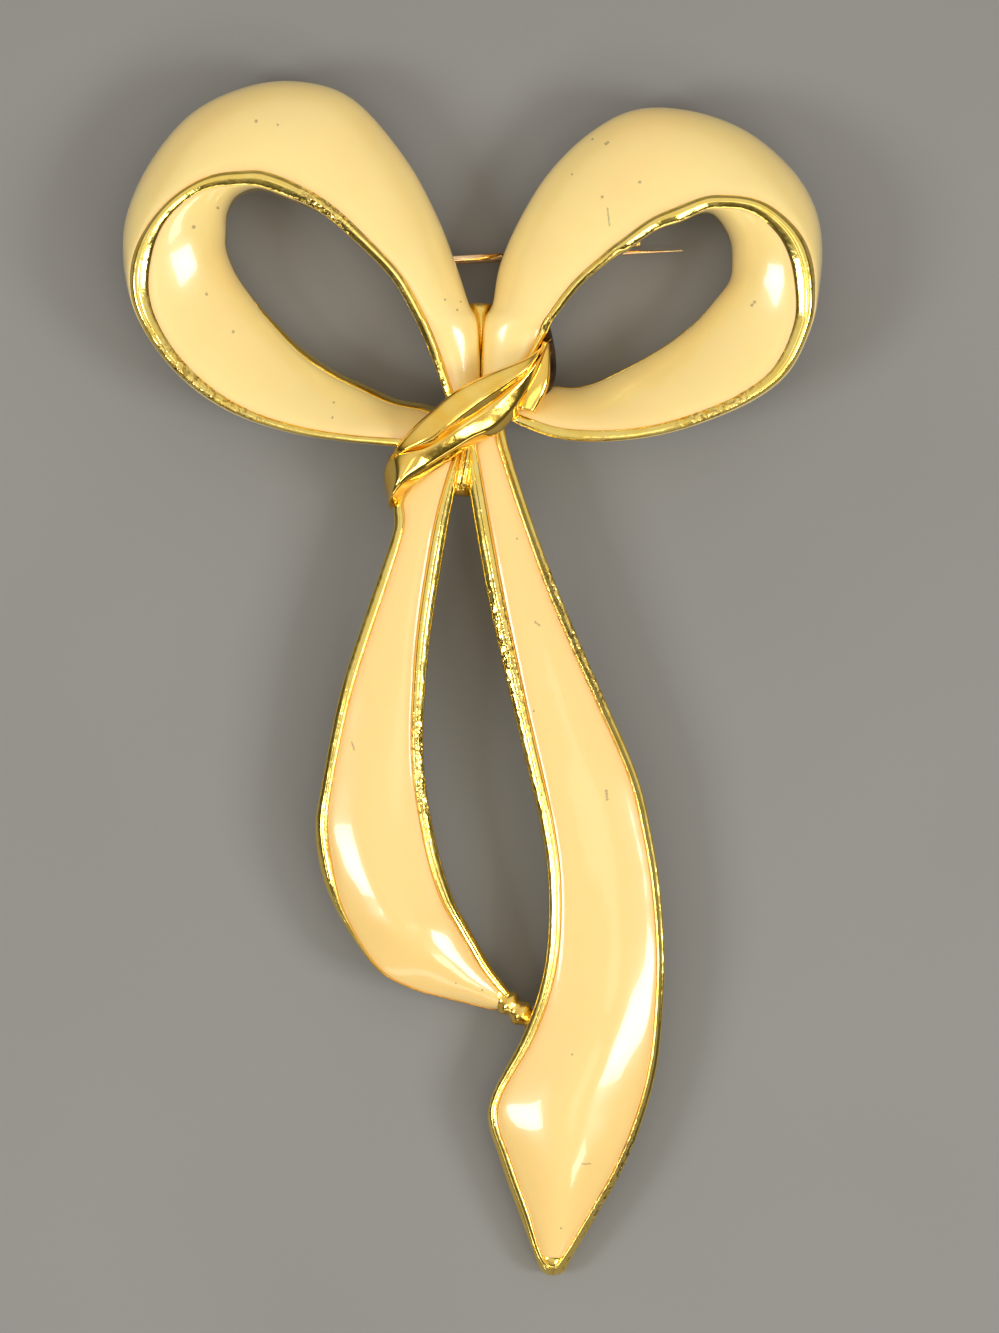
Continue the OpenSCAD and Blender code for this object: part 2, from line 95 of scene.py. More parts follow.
# %% [markdown]
# ## Curves and sections
# A ribbon is a row of sections, one behind the other. It could be swept along a
# path, but a sweep keeps one section, and here each one differs. So the tables
# give a row for each place where the ribbon changes, and a smooth curve through
# four rows at a time fills in the sections between them.

# %% Rows between the rows of a table
def smooth_rows(table, steps):
    """The rows of a table with further rows between them, on smooth curves."""
    rows = np.array(table, float)
    last = len(rows) - 1
    filled = []
    for i in range(last):
        a, b, c, d = (rows[min(max(i + k, 0), last)] for k in (-1, 0, 1, 2))
        for k in range(steps):
            t = k / steps
            filled.append(
                b + (c - a) * t / 2
                + (2 * a - 5 * b + 4 * c - d) * t * t / 2
                + (3 * b - a - 3 * c + d) * t ** 3 / 2
            )
    filled.append(rows[last])
    return np.array(filled)


print("three rows become", len(smooth_rows([[0], [1], [0]], 4)))

# %% [markdown]
# The face of a section is a curve with four points: its two ends, and two
# between them that pull it out. Enamel and cell lie under the face, so a second
# helper gives points that are sunk below the curve, square to it.

# %% Curves with four points
NO_LENGTH = 1e-6
LENGTH_POINTS = 20


def bezier(p, t):
    """The point at t, from 0 to 1, of a curve with four points."""
    return (
        p[0] * (1 - t) ** 3
        + p[1] * 3 * t * (1 - t) ** 2
        + p[2] * 3 * t * t * (1 - t)
        + p[3] * t ** 3
    )


def bezier_sunk(p, t, depth):
    """A point of the curve, sunk into the metal on its right hand side."""
    v = (p[1] - p[0]) * (1 - t) ** 2 + (p[2] - p[1]) * 2 * t * (1 - t) + (p[3] - p[2]) * t * t
    n = np.array([v[1], -v[0]]) / max(np.hypot(*v), NO_LENGTH)
    return bezier(p, t) + n * depth


def bezier_length(p):
    """The length of a curve, measured over short straight steps."""
    steps = np.diff([bezier(p, t) for t in np.linspace(0, 1, LENGTH_POINTS)], axis=0)
    return np.hypot(steps[:, 0], steps[:, 1]).sum()


quarter_round = np.array([[0, 0], [0, 0.55], [0.45, 1], [1, 1]])
print("a quarter of a round is", round(bezier_length(quarter_round), 2), "of its radius long")

# %% [markdown]
# ## From a flat grid to a ribbon
# A flat grid is the start of every ribbon and lobe. Its rows are wrapped round
# the sections: a vertex's x says how far it lies round its section, and its y
# how far along the ribbon. No single operator follows a table of sections, so
# this one step sets the places in code. The seam is then merged and the two
# ends are filled, and a Subdivision Surface modifier rounds it all.

# %% Selecting nothing, and rounding a finished piece
def deselect():
    """Leaves edit mode and selects nothing, so that the next operator acts on its own piece."""
    if bpy.context.object and bpy.context.object.mode != "OBJECT":
        bpy.ops.object.mode_set(mode="OBJECT")
    bpy.ops.object.select_all(action="DESELECT")


def finish_mesh(piece, levels, smooth_angle):
    """Rounds a piece with a Subdivision Surface modifier, applies it and shades it smooth."""
    bpy.context.view_layer.objects.active = piece
    piece.select_set(True)
    if levels:
        rounding = piece.modifiers.new("rounding", "SUBSURF")
        rounding.levels = levels
        rounding.render_levels = levels
        bpy.ops.object.modifier_apply(modifier=rounding.name)
    bpy.ops.object.shade_smooth_by_angle(angle=math.radians(smooth_angle))
    piece.select_set(False)


deselect()
print("selected:", len(bpy.context.selected_objects))

# %% [markdown]
# A few pieces of enamel also need to know how near each point is to the gold,
# for a painted peach reflection and shade beside the rims. That is kept on the
# mesh as an attribute named rim, which a material can read and which stays with
# the surface when the modifier rounds it.

# %% Wrapping a grid round sections
ROUNDING_LEVELS = 1
RIBBON_CREASE = 50
MERGE_WITHIN = 1e-7


def close_up(piece):
    """Merges the seam of a wrapped grid, fills its ends, turns its faces outwards and rounds it."""
    bpy.ops.object.mode_set(mode="EDIT")
    bpy.ops.mesh.select_all(action="SELECT")
    bpy.ops.mesh.remove_doubles(threshold=MERGE_WITHIN)
    bpy.ops.mesh.select_all(action="SELECT")
    bpy.ops.mesh.fill_holes(sides=0)
    bpy.ops.mesh.select_all(action="SELECT")
    bpy.ops.mesh.normals_make_consistent(inside=False)
    bpy.ops.object.mode_set(mode="OBJECT")
    finish_mesh(piece, ROUNDING_LEVELS, RIBBON_CREASE)


def wrapped(name, rings, rim=None):
    """A closed piece whose surface runs through the rings, each a closed section in mm."""
    rings = np.array(rings)
    along, around = rings.shape[:2]
    deselect()
    bpy.ops.mesh.primitive_grid_add(x_subdivisions=around, y_subdivisions=along - 1, size=1)
    piece = bpy.context.object
    piece.name = name
    mesh = piece.data
    co = np.empty(len(mesh.vertices) * 3)
    mesh.vertices.foreach_get("co", co)
    co = co.reshape(-1, 3)
    i = np.rint((co[:, 0] + 0.5) * around).astype(int) % around
    j = np.rint((co[:, 1] + 0.5) * (along - 1)).astype(int)
    mesh.vertices.foreach_set("co", (rings[j, i] * MM).ravel())
    if rim is not None:
        near = mesh.attributes.new("rim", "FLOAT", "POINT")
        near.data.foreach_set("value", np.array(rim)[j, i])
    mesh.update()
    close_up(piece)
    return piece


print("rounding divides each face of a grid into", 4 ** ROUNDING_LEVELS)

# %% [markdown]
# ## The loops
# Each loop is a puffed ribbon bent into a ring. Its section climbs from an outer
# foot over a domed outer face to the gold band at the front, and rolls down an
# inner face to the hole. The tables give, for each section round the loop:
# the outer edge and the edge at the hole, across in thousandths of BOW_W and up
# in thousandths of LOOPS_H, then in hundredths the place of the band between
# them, the heights of band and foot as shares of BOW_DEPTH, how steeply the
# inner face rolls off, the band's width, the bare gold at the outer foot and the
# depth of the groove that splits the band in two.

# %% Table of the left loop
# out_x, out_y, hole_x, hole_y, band_at, band_z, foot_z, roll, band, bare, groove
LEFT_LOOP = [
    [20, 60, -30, 49, 84, 67, 40, 50, 44, 30, 0],
    [20, 214, -53, 186, 90, 72.5, 44, 50, 50, 30, 0],
    [17, 300, -69, 262, 91, 78.5, 44, 50, 52, 26, 0],
    [4, 352, -80, 310, 91, 82, 36, 50, 54, 22, 0],
    [-18, 476, -110, 413, 92, 87, 32, 50, 58, 8, 0],
    [-43, 600, -158, 512, 93, 92, 32, 50, 62, 6, 5],
    [-89, 768, -211, 600, 93, 96, 32, 50, 68, 6, 5],
    [-165, 940, -259, 640, 92, 98, 32, 55, 80, 6, 0],
    [-246, 991, -299, 665, 91, 100, 32, 62, 82, 6, 0],
    [-325, 971, -329, 646, 85, 100, 32, 66, 74, 6, 0],
    [-398, 897, -342, 603, 71, 100, 32, 66, 66, 6, 0],
    [-455, 763, -343, 549, 51, 99, 32, 64, 58, 6, 0],
    [-490, 611, -342, 500, 34, 96, 32, 60, 68, 6, 5],
    [-495, 475, -328, 431, 19, 91, 32, 52, 100, 8, 30],
    [-480, 346, -304, 363, 9, 87, 32, 42, 98, 10, 60],
    [-447, 219, -270, 289, 7, 83, 32, 32, 80, 20, 50],
    [-396, 106, -232, 218, 7, 80, 32, 26, 70, 30, 15],
    [-334, 27, -188, 159, 7, 78, 32, 24, 64, 30, 0],
    [-258, -24, -145, 119, 7, 77, 32, 24, 58, 30, 0],
    [-181, -49, -101, 81, 7, 76, 32, 24, 56, 30, 0],
    [-113, -62, -60, 67, 8, 74, 31, 24, 54, 30, 0],
    [-61, -74, -26, 44, 10, 72, 30, 24, 50, 30, 0],
]
print("sections drawn on the left loop:", len(LEFT_LOOP))

# %% [markdown]
# The bow was modelled by hand and its loops are no mirror images: the right one
# is a little lower and rounder, and its band is broader at the side. A mirrored
# copy would save this table, but it would be another bow.

# %% Table of the right loop
# out_x, out_y, hole_x, hole_y, band_at, band_z, foot_z, roll, band, bare, groove
RIGHT_LOOP = [
    [12, 60, 79, 148, 90, 70, 40, 50, 44, 30, 0],
    [12, 214, 110, 254, 93, 74, 44, 50, 44, 30, 0],
    [16, 300, 117, 286, 94, 78, 44, 50, 44, 26, 0],
    [29, 352, 127, 315, 94, 81, 36, 50, 44, 22, 0],
    [41, 460, 161, 399, 95, 87, 32, 50, 48, 8, 0],
    [68, 583, 206, 472, 95, 92, 32, 50, 56, 6, 0],
    [111, 723, 226, 496, 95, 96, 32, 50, 60, 6, 0],
    [170, 840, 266, 550, 95, 98, 32, 55, 68, 6, 0],
    [237, 909, 299, 572, 94, 100, 32, 58, 78, 6, 0],
    [317, 906, 333, 599, 92, 100, 32, 62, 68, 6, 0],
    [396, 849, 353, 584, 83, 100, 32, 66, 72, 6, 0],
    [460, 743, 369, 530, 60, 99, 32, 66, 82, 6, 10],
    [496, 626, 372, 466, 42, 96, 32, 62, 98, 6, 30],
    [506, 498, 368, 414, 27, 92, 32, 56, 116, 6, 30],
    [498, 360, 349, 363, 14, 88, 32, 46, 108, 8, 35],
    [485, 265, 324, 304, 9, 85, 32, 36, 90, 14, 40],
    [456, 148, 290, 247, 8, 83, 32, 28, 80, 24, 30],
    [408, 69, 252, 199, 8, 81, 32, 24, 78, 30, 0],
    [338, 7, 211, 156, 8, 79, 32, 24, 76, 30, 0],
    [264, -35, 179, 127, 8, 77, 32, 24, 78, 30, 0],
    [187, -51, 149, 113, 9, 76, 32, 24, 76, 30, 0],
    [119, -39, 117, 119, 10, 74, 31, 24, 66, 30, 0],
    [57, 12, 88, 113, 12, 70, 30, 24, 50, 30, 0],
]
print("sections drawn on the right loop:", len(RIGHT_LOOP))

# %% [markdown]
# A section's two faces are pulled to their shape by shares of its own width and
# height, so one rule serves the wide, high ribbon at the top and the narrow one
# by the knot. There the outer face is fuller, and a second pair of pulls is
# blended in. Where the inner face slopes evenly down to the hole, as along its
# lower edge, a rounded lip of gold shows past the enamel.

# %% Sizes and pulls of a loop section
LOOP_STEPS = 5
# how far the edges of the band lie under the section's top
BAND_DROP = 0.22
# how far a foot is tucked in under its face, and the share of the width that it may take
FOOT_TUCK = 0.35
FOOT_SHARE = 0.06
# the least that the band leaves of the outer and of the inner face
LEAST_OUTER, LEAST_INNER = 0.02, 0.04

# two pulling points of the outer face: share of its width, share of its height
OUTER_PULLS = np.array([[-0.14, 0.45], [0.42, 0.88]])
FULL_PULLS = np.array([[-0.04, 0.62], [0.36, 0.95]])
# the band's height below which the face grows fuller, and over how much it does
FULL_BELOW, FULL_SPAN = 92, 20
# the inner face's first pulling point, and how far across its second one lies
INNER_PULL = (0.4, 0.85)
INNER_PAST = 1.04
# the roll at which the lip starts to show and at which it shows whole, and its least share
LIP_ROLL, LIP_WHOLE, LIP_LEAST = 44, 24, 0.05
LIP_TRIES = np.linspace(0.3, 1, 71)
print("a loop has", (len(LEFT_LOOP) - 1) * LOOP_STEPS + 1, "sections")

# %% [markdown]
# A small class holds what the gold and both enamels of a loop need to know of
# a section. They all ask the same section, so they can't come apart.

# %% One section of a loop
class LoopSection:
    """One section of a loop: its place, its two faces as curves, and its band."""

    def __init__(self, row, lip_seen):
        band_at, band_z, foot_z, roll, band, bare, groove = row[4:]
        self.out = KNOT + np.array([row[0] * BOW_W, row[1] * LOOPS_H]) / 1000
        hole = KNOT + np.array([row[2] * BOW_W, row[3] * LOOPS_H]) / 1000
        self.w = np.hypot(*(hole - self.out))
        self.across = (hole - self.out) / self.w
        self.foot = BOW_DEPTH * foot_z / 100
        self.top = BOW_DEPTH * band_z / 100
        middle = self.w * band_at / 100
        half = BAND_W * band / 100 / 2
        full = min(max((FULL_BELOW - band_z) / FULL_SPAN, 0), 1)
        self.outer = self.outer_face(max(middle - half, LEAST_OUTER), full)
        self.inner = self.inner_face(min(middle + half, self.w - LEAST_INNER), roll / 100)
        self.bare_to = bare / 100
        self.groove = groove / 100
        self.lip_from = self.lip_start(lip_seen, roll)

    def outer_face(self, end, full):
        """The outer face from its foot up to the band, as the four points of a curve."""
        h = self.top - self.foot
        low, high = OUTER_PULLS + (FULL_PULLS - OUTER_PULLS) * full
        return np.array([
            [min(FOOT_SHARE * self.w, FOOT_TUCK), self.foot],
            [low[0] * end, self.foot + low[1] * h],
            [high[0] * end, self.foot + high[1] * h],
            [end, self.top - BAND_DROP],
        ])

    def inner_face(self, start, roll):
        """The inner face from the band down to the hole, as the four points of a curve."""
        h = self.top - self.foot
        span = self.w - start
        return np.array([
            [start, self.top - BAND_DROP],
            [start + INNER_PULL[0] * span, self.foot + INNER_PULL[1] * h],
            [start + INNER_PAST * span, self.foot + roll * h],
            [self.w - FOOT_TUCK * roll, self.foot],
        ])

    def lip_start(self, lip_seen, roll):
        """Where on the inner face the gold lip starts, so that it shows by lip_seen in mm."""
        reach = np.array([bezier(self.inner, t)[0] for t in LIP_TRIES])
        seen = lip_seen * min(max((LIP_ROLL - roll) / (LIP_ROLL - LIP_WHOLE), LIP_LEAST), 1)
        return LIP_TRIES[np.argmax(reach > reach.max() - seen)]

    def place(self, points):
        """Points of the section's own plane, set at their place in the brooch."""
        points = np.array(points)
        return np.column_stack([self.out + points[:, :1] * self.across, points[:, 1]])


LEFT_LIP, RIGHT_LIP = 0.8, 0.1
left_sections = [LoopSection(r, LEFT_LIP) for r in smooth_rows(LEFT_LOOP, LOOP_STEPS)]
right_sections = [LoopSection(r, RIGHT_LIP) for r in smooth_rows(RIGHT_LOOP, LOOP_STEPS)]
print("widest section:", round(max(s.w for s in left_sections + right_sections), 2), "mm")

# %% [markdown]
# ## The gold bands
# The band is not round: polishing left it a steep outer flank, an almost level
# facet, a leaning inner facet and a short inner flank, and each mirrors another
# part of the room. A bevelled edge would mirror one thing only, so the band has
# a drawn profile. A row gives place and height in hundredths of half its width.

# %% Profile of a band
# place, height
BAND_PROFILE = [
    [-100, -20], [-97, -16], [-80, 2], [-62, 21], [-52, 30], [-42, 34], [-22, 36], [-6, 37],
    [2, 37], [10, 34], [32, 24], [54, 13], [66, 7], [76, 0], [88, -9], [97, -16], [100, -20],
]
GROOVE_AT = 2
GROOVE_W = 7


def band_points(profile, left, right, groove, flip=False):
    """The profile laid between two points, with a narrow groove of a given depth in mm."""
    half = (right[0] - left[0]) / 2
    points = []
    for place, height in profile:
        x = -place / 100 if flip else place / 100
        cut = groove if abs(place - GROOVE_AT) < GROOVE_W / 2 else 0
        base = left[1] + (right[1] - left[1]) * (x + 1) / 2
        points.append([left[0] + half * (x + 1), base + height / 100 * half - cut])
    return points[::-1] if flip else points


print("a band has", len(BAND_PROFILE), "points across")

# %% [markdown]
# ## The gold of the loops
# The gold part of a section has a shallow cell on either face for the enamel,
# the raised band between them, a rounded lip at the hole, and a hollow back. A
# real casting is hollow there to save metal and weight. The hollow could be cut
# with a boolean, but as the section is drawn anyway, it simply turns inwards.

# %% The gold of a loop section
CELL = 0.28
CELL_POINTS = 9
BARE_POINTS = 4
# where the outer face's cell ends and the inner face's one starts, along their curves
CELL_TO, CELL_FROM = 0.97, 0.03
GROOVE_DEPTH = 0.2
# the metal over the hollow, and how much of the width lies beside the hollow's middle at least
ROOF_T = WALL + 0.45
BESIDE_MIDDLE = 0.25
# the rounded foot: how far it hangs down, and where it is lowest and where it ends
FOOT_HANG = 0.12
FOOT_LOW, FOOT_END = 0.3 * WALL, 0.75 * WALL
HOLLOW_BEND = 0.35
HOLLOW_UP = 0.5


def hollow_back(s):
    """The back of a loop section, from the foot at the hole to the outer foot."""
    roof = s.top - ROOF_T
    side = WALL + BESIDE_MIDDLE * s.w
    mid = min(max((s.outer[3][0] + s.inner[0][0]) / 2, side), s.w - side)
    near, far = s.outer[0][0], s.inner[3][0]
    bend = s.foot + (roof - s.foot) * HOLLOW_BEND
    return [
        [far - FOOT_LOW, s.foot - FOOT_HANG],
        [far - FOOT_END, s.foot],
        [mid + (s.w - mid) * HOLLOW_BEND, bend],
        [mid, s.foot + (roof - s.foot) * HOLLOW_UP],
        [mid * (1 - HOLLOW_BEND), bend],
        [near + FOOT_END, s.foot],
        [near + FOOT_LOW, s.foot - FOOT_HANG],
    ]


def gold_section(s):
    """The closed outline of a loop's gold: outer foot, cell, band, cell, lip and hollow back."""
    points = [bezier(s.outer, t) for t in np.linspace(0, s.bare_to, BARE_POINTS)]
    points += [bezier_sunk(s.outer, t, CELL) for t in np.linspace(s.bare_to, CELL_TO, CELL_POINTS)]
    points += band_points(BAND_PROFILE, s.outer[3], s.inner[0], GROOVE_DEPTH * s.groove)
    points += [bezier_sunk(s.inner, t, CELL) for t in np.linspace(CELL_FROM, s.lip_from, CELL_POINTS)]
    points += [bezier(s.inner, t) for t in np.linspace(s.lip_from, 1, BARE_POINTS)]
    return s.place(points + hollow_back(s))


loop_left_gold = wrapped("loop_left_gold", [gold_section(s) for s in left_sections])
loop_right_gold = wrapped("loop_right_gold", [gold_section(s) for s in right_sections])
print("loops:", len(loop_left_gold.data.polygons), len(loop_right_gold.data.polygons), "faces")

# %% [markdown]
# ## The enamel of the loops
# Enamel is laid in the cells, fired and polished. It swells a little along its
# middle and dips where it wets the gold. The dip catches the gold's warm
# reflection, and a peach line painted beside each rim adds painted reflection
# and shade to it. The gold's own faces could be painted instead, but then
# nothing would dip. So each piece is a plate that follows its face and reaches a
# little into the metal, as fused enamel does.

# %% The enamel of a loop section
ENAMEL_T = 0.36
# how far the enamel dips at a band or rim, at the bare foot and at the lip, and over what width
DIP = 0.15
FOOT_DIP = 0.05
LIP_DIP = 0.06
DIP_REACH = 0.3
# how far it reaches into the metal, and how close to the end of a face
BITE = 0.03
EDGE_STOP = 0.001
# where it has points: close together near the rims on top, and few underneath
ENAMEL_EASE = (1 - np.cos(np.linspace(0, math.pi, 19))) / 2
UNDER_AT = (0.98, 0.8, 0.5, 0.2, 0.02)


def enamel_section(s, face, t0, t1, dip_start, dip_end):
    """A plate on a face from t0 to t1 with a dip at either end, and how near its points are to gold."""
    length = bezier_length(face)
    lo, hi = t0 - BITE / length, t1 + BITE / length
    top = []
    rim = []
    for t in lo + (hi - lo) * ENAMEL_EASE:
        dip = dip_start * math.exp(-(t - lo) * length / DIP_REACH)
        dip += dip_end * math.exp(-(hi - t) * length / DIP_REACH)
        top.append(bezier_sunk(face, min(max(t, EDGE_STOP), 1 - EDGE_STOP), dip))
        rim.append(min(1, dip / DIP))
    under = [bezier_sunk(face, min(max(lo + (hi - lo) * k, EDGE_STOP), 1 - EDGE_STOP), ENAMEL_T)
             for k in UNDER_AT]
    return s.place(top + under), rim + [1] * len(UNDER_AT)


print("enamel lies", round(ENAMEL_T - CELL, 2), "mm into the gold")

# %% [markdown]
# Four pieces are made with it: on either loop the outer face has one between
# the bare foot and the band, and the inner face one between the band and the lip.

# %% Enamel of the two loops
def enamel_piece(name, sections):
    """Wraps a piece of enamel from sections that come with their nearness to the rims."""
    return wrapped(name, [points for points, _ in sections], [rim for _, rim in sections])


def outer_enamel(name, sections):
    """The enamel on a loop's outer face, from its bare foot to the band."""
    return enamel_piece(name, [
        enamel_section(s, s.outer, s.bare_to, 1 - BITE / bezier_length(s.outer), FOOT_DIP, DIP)
        for s in sections
    ])


def inner_enamel(name, sections):
    """The enamel on a loop's inner face, from the band to the lip."""
    return enamel_piece(name, [
        enamel_section(s, s.inner, BITE / bezier_length(s.inner), s.lip_from, DIP, LIP_DIP)
        for s in sections
    ])


enamel_left_outer = outer_enamel("enamel_left_outer", left_sections)
enamel_left_inner = inner_enamel("enamel_left_inner", left_sections)
enamel_right_outer = outer_enamel("enamel_right_outer", right_sections)
enamel_right_inner = inner_enamel("enamel_right_inner", right_sections)
print("enamel on the loops:", len(enamel_left_outer.data.polygons), "faces on the first piece")

# %% [markdown]
# ## The tails
# The two tails cross just under the knot. Each is a flat ribbon with a raised
# gold rim along either edge and enamel domed between them. A row of the tables
# gives both edges, across in thousandths of BOW_W and down in thousandths of
# TAILS_H, the front's height at either edge in hundredths of BOW_DEPTH, the
# width of either rim in hundredths of RIM_W, and in hundredths of a millimetre
# how far the ribbon swells up from either edge.

# %% Tables of the tails
# left_x, left_down, right_x, right_down, left_z, right_z, left_rim, right_rim, left_swell,
# right_swell
LEFT_TAIL = [
    [-97, 76, -3, 27, 60, 60, 90, 130, 30, 30],
    [-107, 98, -13, 56, 62, 62, 90, 135, 30, 30],
    [-108, 126, -27, 110, 64, 65, 95, 135, 35, 30],
    [-135, 193, -44, 193, 64, 66, 100, 130, 40, 30],
    [-157, 245, -55, 253, 63, 66, 100, 120, 45, 30],
    [-179, 301, -62, 316, 61, 66, 100, 110, 55, 35],
    [-194, 353, -65, 373, 58, 65, 95, 105, 80, 40],
    [-209, 419, -61, 424, 56, 63, 90, 100, 110, 50],
    [-219, 471, -50, 477, 53, 62, 105, 105, 160, 60],
    [-212, 522, -36, 524, 51, 60, 110, 110, 200, 90],
    [-194, 563, -19, 563, 50, 57, 70, 110, 200, 140],
    [-165, 605, -3, 587, 50, 53, 40, 100, 190, 190],
    [-126, 645, 13, 611, 49, 48, 20, 90, 110, 190],
    [-77, 666, 31, 637, 44, 43, 15, 90, 70, 140],
    [-26, 678, 53, 663, 37, 38, 15, 80, 50, 80],
    [20, 688, 71, 682, 29, 32, 20, 60, 30, 40],
    [46, 693, 83, 691, 22, 28, 30, 40, 20, 20],
]
RIGHT_TAIL = [
    [-10, 16, 50, -1, 60, 60, 120, 100, 30, 30],
    [-7, 42, 57, 28, 62, 62, 130, 90, 30, 30],
    [10, 129, 88, 107, 66, 64, 140, 85, 40, 40],
    [30, 218, 126, 192, 67, 64, 140, 90, 40, 50],
    [47, 281, 166, 271, 67, 62, 135, 90, 40, 60],
    [62, 333, 194, 323, 66, 60, 125, 86, 40, 60],
    [87, 419, 240, 412, 64, 57, 120, 80, 50, 70],
    [102, 474, 260, 479, 61, 54, 115, 78, 50, 70],
    [112, 535, 273, 547, 57, 52, 110, 74, 50, 75],
    [111, 611, 279, 624, 54, 51, 105, 70, 50, 120],
    [98, 670, 276, 694, 51, 47, 100, 68, 90, 165],
    [73, 725, 269, 753, 48, 43, 95, 68, 170, 230],
    [27, 804, 252, 810, 41, 40, 80, 70, 200, 300],
    [44, 867, 222, 874, 36, 38, 90, 74, 195, 260],
    [71, 931, 181, 936, 31, 33, 90, 80, 110, 150],
    [92, 978, 149, 981, 25, 26, 62, 78, 60, 70],
    [101, 997, 138, 999, 22, 22, 120, 120, 30, 30],
    [112, 1006, 127, 1006, 16, 16, 120, 120, 10, 10],
]
print("sections drawn:", len(LEFT_TAIL), "on the left tail and", len(RIGHT_TAIL), "on the right one")

# %% [markdown]
# The swell is what places the tails' highlights. A plain dome has its steepest
# slope at the rims, and would mirror the softboxes there. This one rises from
# either edge with an even slope and levels out halfway, so the highlight comes
# out broad, and on the side that the table names.

# %% One section of a tail
TAIL_STEPS = 6
# the most of the width that one rim may take, and how much of it the swell climbs over
RIM_MOST = 0.46
SWELL_REACH = 0.52


def rounded_rise(x):
    """0 at 0 and 1 at 1: straight at first, then rounding off to level."""
    return (x - 2 * x ** 5 / 5 + x ** 9 / 9) / (1 - 2 / 5 + 1 / 9)


class TailSection:
    """One section of a tail: its place, its rims and the dome between them."""

    def __init__(self, row):
        down = np.array([BOW_W, -TAILS_H]) / 1000
        self.left = KNOT + np.array(row[0:2]) * down
        right = KNOT + np.array(row[2:4]) * down
        self.w = np.hypot(*(right - self.left))
        self.across = (right - self.left) / self.w
        self.z = np.array(row[4:6]) * BOW_DEPTH / 100
        self.l = min(RIM_W * row[6] / 100, RIM_MOST * self.w)
        self.r = self.w - min(RIM_W * row[7] / 100, RIM_MOST * self.w)
        self.swell = row[8] / 100, row[9] / 100

    def top(self, u):
        """The height of a flat front at u mm from the left edge."""
        return self.z[0] + (self.z[1] - self.z[0]) * u / self.w

    def dome(self, u):
        """The height of the swelling front at u mm from the left edge."""
        height = self.top(u)
        for swell, share in zip(self.swell, (u / self.w, 1 - u / self.w)):
            height += swell * (rounded_rise(min(share / SWELL_REACH, 1)) - share)
        return height

    def place(self, points):
        """Points of the section's own plane, set at their place in the brooch."""
        points = np.array(points)
        return np.column_stack([self.left + points[:, :1] * self.across, points[:, 1]])


left_tail_sections = [TailSection(r) for r in smooth_rows(LEFT_TAIL, TAIL_STEPS)]
right_tail_sections = [TailSection(r) for r in smooth_rows(RIGHT_TAIL, TAIL_STEPS)]
print("the tails are up to", round(max(s.w for s in right_tail_sections), 1), "mm wide")

# %% [markdown]
# ## The rims and backs of the tails
# The rims are narrow bands, polished to a nearly flat top with a fine groove.
# The right tail's outer rim leans outwards instead, because the ribbon rolls
# over there, and so it shows darker. So each rim of a tail names its profile.

# %% Profiles of the rims
# place, height
RIM_PROFILE = [
    [-100, -40], [-94, -26], [-80, -6], [-66, 10], [-56, 16], [-36, 20], [-6, 22], [2, 22],
    [10, 20], [40, 8], [66, -6], [80, -14], [92, -26], [98, -42], [100, -60],
]
STEEP_RIM = [
    [-100, -40], [-94, -24], [-84, -4], [-72, 10], [-56, 14], [-40, 8], [-18, -8], [2, -26],
    [18, -40], [32, -47], [58, -50], [78, -58], [90, -70], [97, -84], [100, -96],
]
# profile and depth of the groove of the left and the right rim
LEFT_TAIL_RIMS = (RIM_PROFILE, 0.04), (RIM_PROFILE, 0.1)
RIGHT_TAIL_RIMS = (RIM_PROFILE, 0.1), (STEEP_RIM, 0.05)
print("a rim has", len(RIM_PROFILE), "points across")

# %% [markdown]
# The outline of a tail's gold runs up one side, over a rim, along the cell under
# the enamel, over the other rim and down again. The back is a shallow hollow, as
# a cast ribbon has one, and it is drawn with the rest instead of being cut out.

# %% The gold of the tails
# how far a rim stands over the dome, and the gap between rim and cell
RIM_LIFT = 0.06
RIM_GAP = 0.02
# the back: its small corners, the height of the sides' one point, and the hollow's reach and
# rise, which is less where a tail is narrower than HOLLOW_W
CORNER = 0.06
SIDE_UP = 0.3
HOLLOW_FROM, HOLLOW_TO = 0.1, 0.9
HOLLOW_RISE = 0.3
HOLLOW_W = 5.0


def rim_points(s, u0, u1, profile, groove, flip):
    """A rim from u0 to u1. Its profile starts at the enamel, or ends there if flipped."""
    left = [u0, s.dome(u0) + RIM_LIFT]
    right = [u1, s.dome(u1) + RIM_LIFT]
    return band_points(profile, left, right, groove, flip)


def tail_gold_section(s, left_rim, right_rim):
    """The closed outline of a tail's gold: side, rim, cell, rim, side and hollow back."""
    base = [max(0, s.top(0) - TAIL_T), max(0, s.top(s.w) - TAIL_T)]
    hollow = HOLLOW_RISE * TAIL_T * min(1, s.w / HOLLOW_W)
    points = [[CORNER, base[0]], [0, base[0] + SIDE_UP * (s.z[0] - base[0])]]
    points += rim_points(s, 0, s.l, *left_rim, True)
    points += [[u, s.dome(u) - CELL] for u in np.linspace(s.l + RIM_GAP, s.r - RIM_GAP, CELL_POINTS)]
    points += rim_points(s, s.r, s.w, *right_rim, False)
    points += [
        [s.w, base[1] + SIDE_UP * (s.z[1] - base[1])],
        [s.w - CORNER, base[1]],
        [HOLLOW_TO * s.w, base[1]],
        [s.w / 2, (base[0] + base[1]) / 2 + hollow],
        [HOLLOW_FROM * s.w, base[0]],
    ]
    return s.place(points)


tail_left_gold = wrapped(
    "tail_left_gold", [tail_gold_section(s, *LEFT_TAIL_RIMS) for s in left_tail_sections])
tail_right_gold = wrapped(
    "tail_right_gold", [tail_gold_section(s, *RIGHT_TAIL_RIMS) for s in right_tail_sections])
print("tails:", len(tail_left_gold.data.polygons), "faces on the left one")

